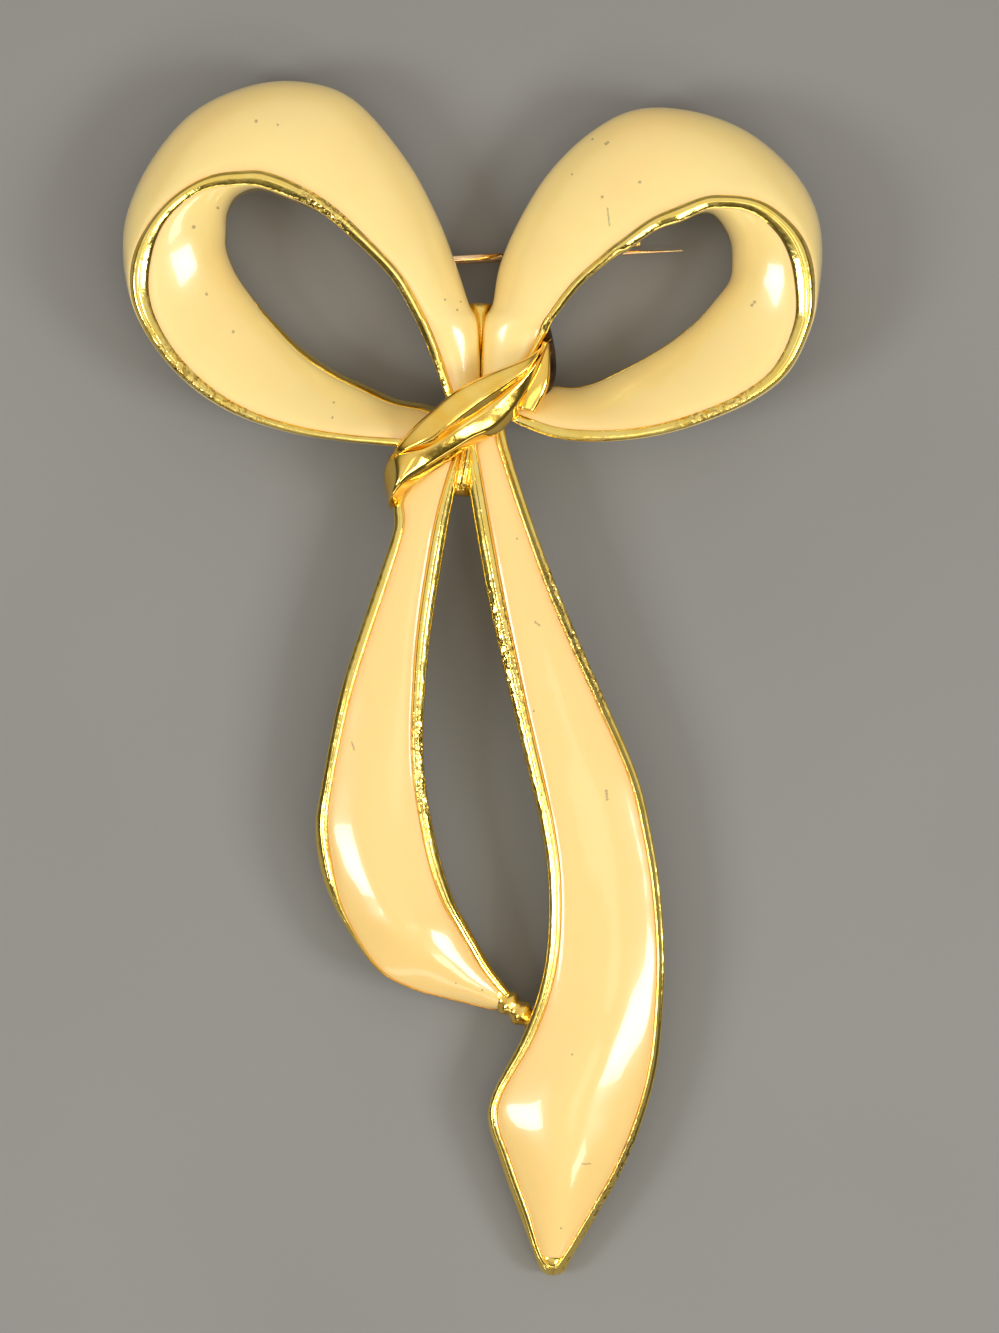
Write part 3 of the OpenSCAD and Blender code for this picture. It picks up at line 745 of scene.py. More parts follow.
# %% [markdown]
# ## The enamel of the tails
# It is the same plate as on the loops, over the dome of a tail. It stops some
# sections short of the ends, where the real tails close in gold.

# %% Enamel of the two tails
LEFT_FILLED = slice(1, -3)
RIGHT_FILLED = slice(1, -11)


def tail_enamel_section(s):
    """A plate between the rims of a tail, and how near its points are to gold."""
    lo, hi = s.l - BITE, s.r + BITE
    top = []
    rim = []
    for u in lo + (hi - lo) * ENAMEL_EASE:
        near = min(1, math.exp(-(u - lo) / DIP_REACH) + math.exp(-(hi - u) / DIP_REACH))
        top.append([u, s.dome(u) - DIP * near])
        rim.append(near)
    under = [[u, s.dome(u) - ENAMEL_T] for u in (lo + (hi - lo) * k for k in UNDER_AT)]
    return s.place(top + under), rim + [1] * len(UNDER_AT)


enamel_left_tail = enamel_piece(
    "enamel_left_tail_fill", [tail_enamel_section(s) for s in left_tail_sections[LEFT_FILLED]])
enamel_right_tail = enamel_piece(
    "enamel_right_tail_fill", [tail_enamel_section(s) for s in right_tail_sections[RIGHT_FILLED]])
print("enamel on the tails:", len(enamel_right_tail.data.polygons), "faces on the right one")

# %% [markdown]
# ## The knot
# The knot is a twist of ribbon laid slantwise over the crossing. Seen from the
# front it is two folds side by side: a broad one whose face rises slowly to a
# ridge and drops off behind it, and a rounder one below, which curls down round
# the left end. A small third facet closes the right end. Each fold is a row of
# sections between two edges, so the creases between the folds stay sharp. A row
# gives both edges from the middle of the knot and the height of the ridge over
# the table, all in tenths of a millimetre.

# %% Tables of the knot
# upper_x, upper_y, lower_x, lower_y, ridge
UPPER_FOLD = [
    [70, 73, 69, 71, 84],
    [62, 66, 62, 62, 90],
    [51, 57, 56, 51, 96],
    [39, 51, 49, 40, 100],
    [15, 41, 30, 24, 103],
    [-2, 33, 15, 13, 105],
    [-16, 24, 2, 3, 105],
    [-32, 10, -15, -9, 103],
    [-46, -2, -30, -20, 99],
    [-60, -18, -50, -24, 91],
    [-65, -26, -61, -30, 82],
]
LOWER_FOLD = [
    [66, 69, 66, 62, 84],
    [57, 56, 59, 42, 90],
    [44, 42, 49, 23, 93],
    [26, 29, 39, 7, 95],
    [9, 17, 24, -8, 97],
    [-7, 5, 6, -16, 98],
    [-22, -7, -9, -25, 96],
    [-38, -16, -25, -35, 94],
    [-54, -19, -40, -46, 93],
    [-65, -25, -53, -56, 91],
    [-71, -38, -61, -66, 84],
    [-71, -54, -66, -72, 72],
]
END_FACET = [
    [62, 70, 67, 68, 82],
    [58, 60, 68, 55, 84],
    [53, 44, 68, 39, 85],
    [46, 27, 64, 25, 85],
    [42, 12, 55, 9, 83],
]
print("the ridge of the knot stands up to", max(row[4] for row in UPPER_FOLD) / 10, "mm high")

# %% [markdown]
# Across a fold runs a profile of its own. The upper fold climbs gently from its
# upper edge and drops off steeply in front, so it mirrors the bright room behind
# and then the dark table. The lower fold climbs at once and leans forward in a
# broad facet, and turns over to lean back where it curls round the left end.
# Profiles give the place across and the height in hundredths.

# %% Profiles of the folds
# place, height
UPPER_ACROSS = [
    [0, 0], [3, 34], [9, 58], [22, 70], [38, 80], [50, 89], [57, 97], [62, 100], [73, 97],
    [79, 72], [87, 38], [94, 12], [100, 0],
]
LOWER_ACROSS = [
    [0, 0], [5, 40], [12, 74], [19, 94], [25, 100], [31, 98], [40, 92], [54, 81], [68, 69],
    [77, 60], [85, 42], [93, 17], [100, 0],
]
LEANING_BACK = [
    [0, 0], [4, 20], [10, 34], [24, 52], [40, 70], [54, 86], [62, 95], [68, 100], [74, 96],
    [80, 80], [87, 52], [94, 20], [100, 0],
]
END_ACROSS = [
    [0, 0], [4, 60], [10, 92], [20, 100], [45, 98], [70, 92], [86, 80], [95, 46], [100, 0],
]
print("a fold has", len(UPPER_ACROSS), "points across its face")

# %% [markdown]
# Sculpting would give such folds too, but nobody could repeat it. Here the same
# wrapped grid serves again: every section is the profile between the two edges,
# closed by two straight sides and a flat underside that is sunk in the core.

# %% The folds of the knot
FOLD_STEPS = 6
# the height of a fold's underside, its corners, and where it has points across
FOLD_BASE = 4.6
BASE_CORNER = 0.3
UNDER_FOLD = (0.08, 0.5, 0.92)
EDGE_T = 0.6
# where along the fold a profile starts to turn into another, and over how much of it
TURN_FROM = 0.68
TURN_SPAN = 0.16
# how far each fold stands up from its edges to its ridge
UPPER_RISE, LOWER_RISE, END_RISE = 1.0, 1.35, 0.5


def fold(name, table, across, rise, end_across=None):
    """A fold between two edges, with a profile that may turn into another toward its end."""
    rings = []
    rows = smooth_rows(table, FOLD_STEPS)
    for i, row in enumerate(rows):
        along = i / (len(rows) - 1)
        turned = min(max((along - TURN_FROM) / TURN_SPAN, 0), 1) if end_across else 0
        profile = np.array(across) * (1 - turned) + np.array(end_across or across) * turned
        upper = KNOT + row[0:2] / 10
        lower = KNOT + row[2:4] / 10
        edge = row[4] / 10 - rise
        ring = [[*(upper + (lower - upper) * place / 100), edge + rise * height / 100]
                for place, height in profile]
        ring += [[*lower, edge - EDGE_T], [*lower, FOLD_BASE + BASE_CORNER]]
        ring += [[*(lower + (upper - lower) * k), FOLD_BASE] for k in UNDER_FOLD]
        ring += [[*upper, FOLD_BASE + BASE_CORNER], [*upper, edge - EDGE_T]]
        rings.append(ring)
    return wrapped(name, rings)


knot_upper = fold("knot_upper", UPPER_FOLD, UPPER_ACROSS, UPPER_RISE)
knot_lower = fold("knot_lower", LOWER_FOLD, LOWER_ACROSS, LOWER_RISE, LEANING_BACK)
knot_end = fold("knot_end", END_FACET, END_ACROSS, END_RISE)
print("knot:", len(knot_upper.data.polygons), "faces on the upper fold")

# %% [markdown]
# ## Core, webs, strut and tip
# Under the folds the casting has a core and, at its right end, a wall whose gold is painted dark as
# painted shade.
# Between the ribbons it has small rounded webs, a ribbed strut holds the end of
# the left tail to the right one, and a drop of gold closes the right tail's
# point. Spheres and cylinders could be joined for them, but each is simpler as a
# lobe: a row of ellipses along a short line. The tables give the middle, across
# in thousandths of BOW_W and along in thousandths of LOOPS_H, or down in
# thousandths of TAILS_H for the last three, the half width in thousandths of
# BOW_W, and the middle and half height in hundredths of KNOT_Z and KNOT_RISE.

# %% Tables of the lobes
# x, y, half_width, z, half_height
KNOT_CORE = [
    [112, 220, 12, 62, 60], [92, 151, 24, 62, 70], [57, 94, 34, 62, 76],
    [0, 14, 40, 62, 80], [-48, -66, 33, 60, 76], [-85, -146, 16, 58, 60],
]
CORE_SIDE = [
    [104, 300, 9, 60, 50], [110, 215, 13, 60, 62], [109, 140, 14, 60, 60], [98, 70, 10, 58, 50],
]
TOP_WEB = [
    [16, 352, 16, 56, 30], [16, 336, 14, 58, 44], [17, 300, 10, 58, 52], [18, 240, 8, 56, 56],
    [19, 160, 7, 56, 56], [20, 90, 6, 56, 50],
]
TAIL_WEB = [
    [-2, 20, 16, 68, 84], [-7, 48, 17, 70, 86], [-11, 70, 16, 70, 78], [-13, 84, 14, 64, 60],
]
STRUT = [
    [30, 664, 15, 36, 40], [38, 670, 20, 40, 50], [47, 676, 14, 41, 40], [56, 682, 20, 43, 50],
    [65, 688, 14, 44, 40], [74, 694, 20, 45, 48], [83, 700, 13, 46, 36], [92, 706, 10, 46, 30],
]
TAIL_TIP = [
    [120, 972, 6, 30, 12], [120, 980, 15, 31, 24], [120, 988, 17, 30, 26], [120, 996, 14, 27, 26],
    [120, 1001, 8, 22, 20],
]
print("the strut has", len(STRUT), "ellipses")

# %% [markdown]
# The web under the knot has fine ridges along it, as the mould left them. They
# are a wave on the ellipses, which costs nothing more than a cosine.

# %% Lobes of the casting
LOBE_STEPS = 4
LOBE_POINTS = 48
TAIL_WEB_RIDGES = (6, 0.06)


def lobe(name, table, length, ridges=(0, 0)):
    """A row of ellipses, if asked with a number of ridges of a given share of its height."""
    rows = smooth_rows(table, LOBE_STEPS)
    middles = KNOT + rows[:, :2] * [BOW_W, length] / 1000
    ways = np.gradient(middles, axis=0)
    turns = np.linspace(0, 2 * math.pi, LOBE_POINTS, endpoint=False)
    swell = 1 + ridges[1] * np.cos(math.pi * ridges[0] * np.cos(turns))
    rings = []
    for row, middle, way in zip(rows, middles, ways):
        side = np.array([way[1], -way[0]]) / np.hypot(*way)
        half_width = row[2] * BOW_W / 1000
        half_height = KNOT_RISE * row[4] / 100
        rings.append(np.column_stack([
            middle + np.outer(np.cos(turns) * half_width, side),
            KNOT_Z * row[3] / 100 + half_height * np.sin(turns) * swell,
        ]))
    return wrapped(name, rings)


knot_core = lobe("knot_core", KNOT_CORE, LOOPS_H)
side_wall = lobe("side_wall", CORE_SIDE, LOOPS_H)
loop_web = lobe("loop_web", TOP_WEB, LOOPS_H)
tail_web = lobe("tail_web", TAIL_WEB, -TAILS_H, TAIL_WEB_RIDGES)
strut = lobe("strut", STRUT, -TAILS_H)
tail_tip = lobe("tail_tip", TAIL_TIP, -TAILS_H)
print("a lobe has", len(loop_web.data.polygons), "faces")

# %% [markdown]
# ## The pin
# The wire turns on a rivet between two ears and rests in a catch. It lies in its
# own slanted line across the back, so a small helper turns finished meshes into
# that line: along the wire is x, along the rivet is y, and the rivet's middle is
# the origin. Parts are then simple to place, and only one helper knows the slant.

# %% Line of the pin
STEM_Z = 1.3
STEM_R = 0.4
STEM_L = 21.6
SLOPE = math.radians(2.3)
HINGE_ACROSS, HINGE_UP = -0.061, 0.479
HINGE = np.array([KNOT[0] + HINGE_ACROSS * BOW_W, KNOT[1] + HINGE_UP * LOOPS_H, STEM_Z])


def to_pin_line(piece):
    """Turns a mesh made round the origin, in mm, into the pin's line and into metres."""
    mesh = piece.data
    co = np.empty(len(mesh.vertices) * 3)
    mesh.vertices.foreach_get("co", co)
    co = co.reshape(-1, 3)
    c, s = math.cos(SLOPE), math.sin(SLOPE)
    turned = np.column_stack([co[:, 0] * c - co[:, 1] * s, co[:, 0] * s + co[:, 1] * c, co[:, 2]])
    mesh.vertices.foreach_set("co", ((turned + HINGE) * MM).ravel())
    mesh.update()


print("the rivet's middle lies at", HINGE.round(2))

# %% [markdown]
# The pin's parts are plain metalwork, so they start as cubes and as cones, which
# are cylinders when both radii are the same. Their edges are bevelled, because
# no worn metal edge is sharp. On a box all edges are bevelled in edit mode, and on
# a bar a Bevel modifier finds only the two round ones by their angle.

# %% Boxes and bars
BEVEL_STEPS = 3
BEVEL_ABOVE = 50
BAR_SIDES = 40
EDGE_SOFT = 0.12


def apply_place(piece):
    """Writes an object's own place, turn and size into its mesh."""
    piece.select_set(True)
    bpy.ops.object.transform_apply(location=True, rotation=True, scale=True)


def box(lo, hi, bevel=EDGE_SOFT):
    """A box between two corners, with bevelled edges."""
    lo, hi = np.array(lo), np.array(hi)
    deselect()
    bpy.ops.mesh.primitive_cube_add(size=1, location=(lo + hi) / 2, scale=hi - lo)
    piece = bpy.context.object
    apply_place(piece)
    bpy.ops.object.mode_set(mode="EDIT")
    bpy.ops.mesh.select_all(action="SELECT")
    bpy.ops.mesh.bevel(offset=bevel, segments=BEVEL_STEPS, affect="EDGES")
    bpy.ops.object.mode_set(mode="OBJECT")
    return piece


def rod(radius, lo, hi, axis, bevel, end_radius=None):
    """A round bar from lo to hi along x or y, with bevelled ends."""
    deselect()
    turn = (0, math.pi / 2, 0) if axis == "x" else (-math.pi / 2, 0, 0)
    middle = ((lo + hi) / 2, 0, 0) if axis == "x" else (0, (lo + hi) / 2, 0)
    bpy.ops.mesh.primitive_cone_add(
        vertices=BAR_SIDES, radius1=radius, radius2=radius if end_radius is None else end_radius,
        depth=hi - lo, location=middle, rotation=turn)
    piece = bpy.context.object
    apply_place(piece)
    if bevel:
        soft_edge = piece.modifiers.new("soft_edge", "BEVEL")
        soft_edge.width = bevel
        soft_edge.segments = BEVEL_STEPS
        soft_edge.limit_method = "ANGLE"
        soft_edge.angle_limit = math.radians(BEVEL_ABOVE)
        bpy.ops.object.modifier_apply(modifier=soft_edge.name)
    return piece


print("a bar has", BAR_SIDES, "sides")

# %% [markdown]
# Parts that touch are joined by a boolean union. They could just be joined as
# they are, but then each would keep the faces that lie inside the other.

# %% Joining parts
PIN_CREASE = 40


def joined(name, parts):
    """Joins parts that overlap into one closed mesh, in the pin's line."""
    deselect()
    first = parts[0]
    bpy.context.view_layer.objects.active = first
    for other in parts[1:]:
        union = first.modifiers.new("union", "BOOLEAN")
        union.operation = "UNION"
        union.solver = "EXACT"
        union.object = other
        bpy.ops.object.modifier_apply(modifier=union.name)
        bpy.data.objects.remove(other)
    first.name = name
    to_pin_line(first)
    finish_mesh(first, 0, PIN_CREASE)
    return first


print("edges of the pin's parts stay sharp above", PIN_CREASE, "degrees")

# %% [markdown]
# The wire keeps its thickness from the ears to the catch and then tapers to a
# fine point, and its root is flattened into an eye for the rivet. It could be a
# curve with a round bevel, but eye, root and taper are simpler as parts of their own.

# %% Wire
CATCH_FROM = 0.179 * BOW_W
EYE_R = 1.0
EYE_W = 0.9
ROOT_OUT = STEM_Z + 0.12
SHANK_FROM = 0.6
TIP_R = 0.06
# how far two parts overlap where they are joined, and how wide the small bevels are
LAP = 0.02
SOFT = 0.1

eye = rod(EYE_R, -EYE_W / 2, EYE_W / 2, "y", SOFT)
root = box((0, -EYE_W / 2, -STEM_R), (ROOT_OUT, EYE_W / 2, STEM_R), SOFT)
shank = rod(STEM_R, SHANK_FROM, CATCH_FROM, "x", 0)
taper = rod(STEM_R, CATCH_FROM - LAP, STEM_L, "x", 0, TIP_R)
pin_wire = joined("pin_wire", [eye, root, shank, taper])
print("wire:", len(pin_wire.data.polygons), "faces")

# %% [markdown]
# The rivet goes through both ears and the eye, and its two flat heads were
# hammered over outside the ears. The ears' thickness and play place the heads.

# %% Rivet
EAR_T = 0.6
EAR_PLAY = 0.08
EARS_HALF = EYE_W / 2 + EAR_PLAY + EAR_T
RIVET_R = 0.4
HEAD_R = 0.65
HEAD_T = 0.25
HEAD_PLAY = 0.02
HEAD_FROM = EARS_HALF + HEAD_PLAY
HEAD_LAP = 0.1

rivet_parts = [rod(RIVET_R, -HEAD_FROM - HEAD_LAP, HEAD_FROM + HEAD_LAP, "y", 0)]
for side in (-1, 1):
    middle = side * (HEAD_FROM + HEAD_T / 2)
    rivet_parts.append(rod(HEAD_R, middle - HEAD_T / 2, middle + HEAD_T / 2, "y", SOFT))
rivet = joined("rivet", rivet_parts)
print("rivet:", len(rivet.data.polygons), "faces")

# %% [markdown]
# Each ear is a box with a round end, and both stand on one plate. The plate was
# soldered to the back, so its foot reaches a little into the ribbon, and no gap
# shows between them whatever the ribbon's hollow does there.

# %% Ears
RIBBON_FOOT = 0.32 * BOW_DEPTH
FOOT_IN_RIBBON = 0.35
FOOT_TOP = RIBBON_FOOT - STEM_Z + FOOT_IN_RIBBON
EAR_TOP = 1.6
PLATE_HALF = 1.7
PLATE_OUT = 0.3
PLATE_FROM = 1.25

ears = []
for side in (-1, 1):
    middle = side * (EARS_HALF - EAR_T / 2)
    ears.append(rod(STEM_Z, middle - EAR_T / 2, middle + EAR_T / 2, "y", EDGE_SOFT))
    ears.append(box((-STEM_Z, middle - EAR_T / 2, 0), (STEM_Z, middle + EAR_T / 2, EAR_TOP)))
plate = box((-PLATE_HALF, -EARS_HALF - PLATE_OUT, PLATE_FROM),
            (PLATE_HALF, EARS_HALF + PLATE_OUT, FOOT_TOP))
hinge_ears = joined("hinge_ears", [plate] + ears)
print("ears:", len(hinge_ears.data.polygons), "faces")

# %% [markdown]
# The catch is a plain open channel: a pad under the ribbon, a wall on one side
# and a longer tongue on the other, between which the wire lies free. Bent from
# one strip it would look the same, and three boxes are quicker to set out.

# %% Catch
CATCH_PAD, CATCH_TONGUE = 0.251 * BOW_W, 0.307 * BOW_W
CATCH_MOUTH = CATCH_FROM + 1.5
CATCH_PLAY = 0.1
CATCH_T = 0.45
CATCH_HALF = STEM_R + CATCH_PLAY
CATCH_SIDE = CATCH_HALF + CATCH_T

catch = joined("catch", [
    box((CATCH_FROM, -CATCH_SIDE, CATCH_HALF), (CATCH_PAD, CATCH_SIDE, FOOT_TOP)),
    box((CATCH_MOUTH, -CATCH_SIDE, -STEM_Z), (CATCH_PAD, -CATCH_HALF, FOOT_TOP - FOOT_IN_RIBBON)),
    box((CATCH_MOUTH, CATCH_HALF, -STEM_Z), (CATCH_TONGUE, CATCH_SIDE, CATCH_SIDE)),
])
print("catch:", len(catch.data.polygons), "faces")

# %% [markdown]
# ## Finishes
# All finishes are made of noises and colour ramps, which need no picture and
# stay sharp at any distance. They read Object coordinates, which hold still on
# a piece when its body swings. Those are in metres, so a Mapping node turns
# them into millimetres, and each helper adds one node and gives its output.

# %% A new material and its patterns
PER_METRE = 1000


def new_material(name):
    """A material with its node tree, its shader and a place in millimetres."""
    material = bpy.data.materials.new(name)
    material.use_nodes = True
    tree = material.node_tree
    shader = tree.nodes["Principled BSDF"]
    place = tree.nodes.new("ShaderNodeTexCoord")
    scale = tree.nodes.new("ShaderNodeMapping")
    scale.inputs["Scale"].default_value = (PER_METRE, PER_METRE, PER_METRE)
    tree.links.new(place.outputs["Object"], scale.inputs["Vector"])
    return material, tree, shader, scale.outputs["Vector"]


def noise(tree, where, scale, detail=2.0, roughness=0.5):
    """A cloudy value round a half, with about as many clouds to a millimetre as scale says."""
    node = tree.nodes.new("ShaderNodeTexNoise")
    node.inputs["Scale"].default_value = scale
    node.inputs["Detail"].default_value = detail
    node.inputs["Roughness"].default_value = roughness
    tree.links.new(where, node.inputs["Vector"])
    return node.outputs["Fac"]


def ramp(tree, value, stops):
    """The colour that a value from 0 to 1 has between stops, each a position and a colour."""
    node = tree.nodes.new("ShaderNodeValToRGB")
    node.color_ramp.elements[0].position, node.color_ramp.elements[0].color = stops[0]
    node.color_ramp.elements[1].position, node.color_ramp.elements[1].color = stops[-1]
    for position, color in stops[1:-1]:
        node.color_ramp.elements.new(position).color = color
    tree.links.new(value, node.inputs["Fac"])
    return node.outputs["Color"]


def bump(tree, height, distance, under=None):
    """Lets a height of up to distance in mm bend the reflections, over another bump if given."""
    node = tree.nodes.new("ShaderNodeBump")
    node.inputs["Distance"].default_value = distance * MM
    node.inputs["Strength"].default_value = 1.0
    tree.links.new(height, node.inputs["Height"])
    if under:
        tree.links.new(under, node.inputs["Normal"])
    return node.outputs["Normal"]


print("patterns read places in mm")

# %% [markdown]
# Some marks lie at known places. The distance from such a place, turned into a
# share from 0 to 1, says where a mark is, and the share then mixes two colours.

# %% Marks at a place
def fit_range(tree, value, lo, hi, to_lo, to_hi):
    """Turns a value from lo to hi into one from to_lo to to_hi."""
    node = tree.nodes.new("ShaderNodeMapRange")
    node.inputs["From Min"].default_value = lo
    node.inputs["From Max"].default_value = hi
    node.inputs["To Min"].default_value = to_lo
    node.inputs["To Max"].default_value = to_hi
    tree.links.new(value, node.inputs["Value"])
    return node.outputs["Result"]


def vector_math(tree, operation, first, second, third=None):
    """Works on a place with a constant, and with one more place if the operation takes it."""
    node = tree.nodes.new("ShaderNodeVectorMath")
    node.operation = operation
    tree.links.new(first, node.inputs[0])
    node.inputs[1].default_value = second
    if third:
        tree.links.new(third, node.inputs[2])
    return node.outputs["Value" if operation == "DISTANCE" else "Vector"]


def math_of_two(tree, operation, a, b):
    """Works on two values that both come from other nodes."""
    node = tree.nodes.new("ShaderNodeMath")
    node.operation = operation
    tree.links.new(a, node.inputs[0])
    tree.links.new(b, node.inputs[1])
    return node.outputs["Value"]


def near_to(tree, where, spot, whole, gone):
    """1 within whole mm of a spot, falling to 0 at gone mm from it."""
    return fit_range(tree, vector_math(tree, "DISTANCE", where, spot), whole, gone, 1.0, 0.0)


def larger_of_all(tree, shares):
    """The largest of a list of shares, or None where the list is empty."""
    most = None
    for share in shares:
        most = share if most is None else math_of_two(tree, "MAXIMUM", most, share)
    return most


def mixed(tree, share, a, b):
    """Colour a, with colour b over it by a share from 0 to 1."""
    node = tree.nodes.new("ShaderNodeMix")
    node.data_type = "RGBA"
    tree.links.new(share, node.inputs["Factor"])
    tree.links.new(a, node.inputs["A"])
    node.inputs["B"].default_value = b
    return node.outputs["Result"]


print("marks are placed in mm from the origin")

# %% [markdown]
# ## Gold
# The gold is a thin bright plate over a casting that was polished by hand. Its
# mirror is slightly uneven: a slow noise in the bump bends the reflections, and
# a fine one roughens them here and there. A smooth metal with a gold colour
# would look like plastic film. In a few stretches the polishing left lumps and
# dark pits, and there a coarser noise lifts and darkens the plate.

# %% A gold finish
DARK_PIT = (0.32, 0.17, 0.03, 1)
# how much of the plate a pit hides, how high the lumps are, and how much of a place is all lumps
PIT_SHARE = 0.7
LUMP_HEIGHT = 0.22
LUMPY_CORE = 0.5


def lumpy_plate(tree, where, plate, places):
    """The plate's colour with dark pits at the lumpy places, and the height of the lumps there."""
    share = larger_of_all(tree, [
        near_to(tree, where, (x, y, z), LUMPY_CORE * reach, reach) for x, y, z, reach in places])
    lumps = noise(tree, where, scale=1.5, detail=2)
    pits = fit_range(tree, noise(tree, where, scale=2.4, detail=2), 0.48, 0.66, 0, PIT_SHARE)
    pitted = mixed(tree, math_of_two(tree, "MULTIPLY", pits, share), plate, DARK_PIT)
    return pitted, math_of_two(tree, "MULTIPLY", lumps, share)


def gold(name, light, deep, wave, grain, shine, lumpy=()):
    """A gold plate: its two colours, the heights in mm of its slow, middle and fine unevenness,
    its least and most roughness, and the lumpy places that it may have."""
    material, tree, shader, where = new_material(name)
    tone = noise(tree, where, scale=0.6, detail=3)
    plate = ramp(tree, tone, [(0.35, (*deep, 1)), (0.65, (*light, 1))])
    dull = noise(tree, where, scale=2.2, detail=4, roughness=0.6)
    tree.links.new(fit_range(tree, dull, 0.35, 0.7, *shine), shader.inputs["Roughness"])
    slow = bump(tree, noise(tree, where, scale=0.9, detail=2), wave[0])
    uneven = bump(tree, noise(tree, where, scale=2.6, detail=2), wave[1], slow)
    surface = bump(tree, noise(tree, where, scale=14.0, detail=3, roughness=0.6), grain, uneven)
    if lumpy:
        plate, lumps = lumpy_plate(tree, where, plate, lumpy)
        surface = bump(tree, lumps, LUMP_HEIGHT, surface)
    tree.links.new(plate, shader.inputs["Base Color"])
    shader.inputs["Metallic"].default_value = 1.0
    tree.links.new(surface, shader.inputs["Normal"])
    return material


print("gold can be mixed")

# %% [markdown]
# Six golds come out of it. The ribbons' rims and the knot were polished most,
# the webs and the strut less, and the ears, the catch and the rivet hardly at
# all. The wall behind the knot lies in shade, so its gold is painted almost
# black as painted shade. The wire is a paler, pinker metal of its own.

# %% Gold finishes
# lumpy stretches of the bands: x, y and z of the middle and the reach, in mm
LUMPY = [
    (-22.0, 24.0, 9.3, 7.0), (-11.9, 39.7, 10.6, 3.5), (20.0, 24.2, 8.6, 5.0),
    (7.5, 3.5, 7.0, 9.0), (-4.0, -7.5, 6.6, 6.0), (12.6, -42.5, 3.6, 6.5),
]
polished_gold = gold("polished_gold", (0.99, 0.76, 0.23), (0.96, 0.69, 0.15),
                     wave=(0.05, 0.009), grain=0.0015, shine=(0.07, 0.2), lumpy=LUMPY)
knot_gold = gold("knot_gold", (1.0, 0.69, 0.17), (0.99, 0.61, 0.1),
                 wave=(0.01, 0.002), grain=0.0008, shine=(0.06, 0.14))
cast_gold = gold("cast_gold", (1.0, 0.68, 0.18), (0.75, 0.45, 0.08),
                 wave=(0.12, 0.12), grain=0.03, shine=(0.16, 0.4))
web_gold = gold("web_gold", (1.0, 0.74, 0.2), (0.96, 0.6, 0.12),
                wave=(0.08, 0.05), grain=0.006, shine=(0.1, 0.25))
# Painted shade: the wall behind the knot lies in shadow, so its gold is painted almost black.
painted_shade_cast = gold("painted_shade_cast", (0.16, 0.08, 0.03), (0.025, 0.013, 0.008),
                 wave=(0.12, 0.2), grain=0.12, shine=(0.22, 0.5))
pin_gold = gold("pin_gold", (1.0, 0.74, 0.42), (0.9, 0.56, 0.32),
                wave=(0.02, 0.006), grain=0.002, shine=(0.14, 0.24))
print("gold finishes made")

# %% [markdown]
# ## Wear of the enamel
# Years of wear have left some grey specks and short scratches in the enamel. A
# noise could scatter them, but they would then lie in other places than the real
# ones. So they are placed one by one, each as a spot, or a row of spots, round a
# point of the front, and a noise frays their outlines.

# %% Specks and scratches
# x and y in mm, then in hundredths of a mm the radius, and from the middle to the end of a
# scratch along x and y
SPECKS = [
    [-18.0, 46.5, 16, 0, 0], [-16.2, 46.2, 12, 0, 0], [-23.2, 37.7, 17, 0, 0],
    [-21.2, 39.3, 13, 0, 0], [-22.2, 32.2, 15, 0, 0], [-20.0, 29.1, 15, 0, 0],
    [-11.6, 23.2, 11, 0, 0], [-11.7, 21.9, 11, 0, 0], [-2.3, 31.7, 13, 0, 0],
    [-1.3, 30.9, 11, 0, 0], [-1.0, 31.6, 9, 0, 0], [11.3, 38.5, 9, -8, 70],
    [10.8, 40.2, 15, 0, 0], [13.9, 41.4, 15, 0, 0], [11.2, 44.8, 13, 8, 6],
    [10.0, 45.2, 12, 0, 0], [8.3, 42.2, 11, 0, 0], [23.4, 31.4, 14, 10, 12],
    [-10.0, -5.5, 9, -10, 30], [0.8, -26.0, 12, 0, 0], [-1.4, -25.4, 9, 0, 0],
    [5.4, 4.7, 12, 16, -12], [3.7, 11.8, 10, 0, 0], [5.1, -2.6, 12, 0, 0],
    [11.2, -9.6, 13, -4, 36], [8.3, -31.3, 12, 0, 0], [9.5, -40.5, 10, 30, 0],
    [7.4, -46.0, 11, 0, 0], [3.5, -36.2, 10, 22, 4],
]
# a speck is whole up to its core and gone at its edge, both as shares of its radius
SPECK_CORE, SPECK_EDGE = 1 / 1.4, 1 / 0.95
# how far in mm a noise shifts the outlines, and how fine it is
FRAY = 0.16
FRAY_SCALE = 6.0


def speck_mask(tree, where):
    """1 inside the specks and scratches and 0 round them."""
    fray = tree.nodes.new("ShaderNodeTexNoise")
    fray.inputs["Scale"].default_value = FRAY_SCALE
    tree.links.new(where, fray.inputs["Vector"])
    shifted = vector_math(tree, "MULTIPLY_ADD", fray.outputs["Color"], (FRAY, FRAY, 0), where)
    flat = vector_math(tree, "MULTIPLY", shifted, (1, 1, 0))
    spots = []
    for x, y, radius, along_x, along_y in SPECKS:
        steps = 1 + round(math.hypot(along_x, along_y) / radius)
        for k in range(steps):
            along = (2 * k / max(steps - 1, 1) - 1) / 100
            spot = (x + along_x * along + FRAY / 2, y + along_y * along + FRAY / 2, 0)
            spots.append(near_to(tree, flat, spot, radius / 100 * SPECK_CORE, radius / 100 * SPECK_EDGE))
    return larger_of_all(tree, spots)


print(len(SPECKS), "specks and scratches")
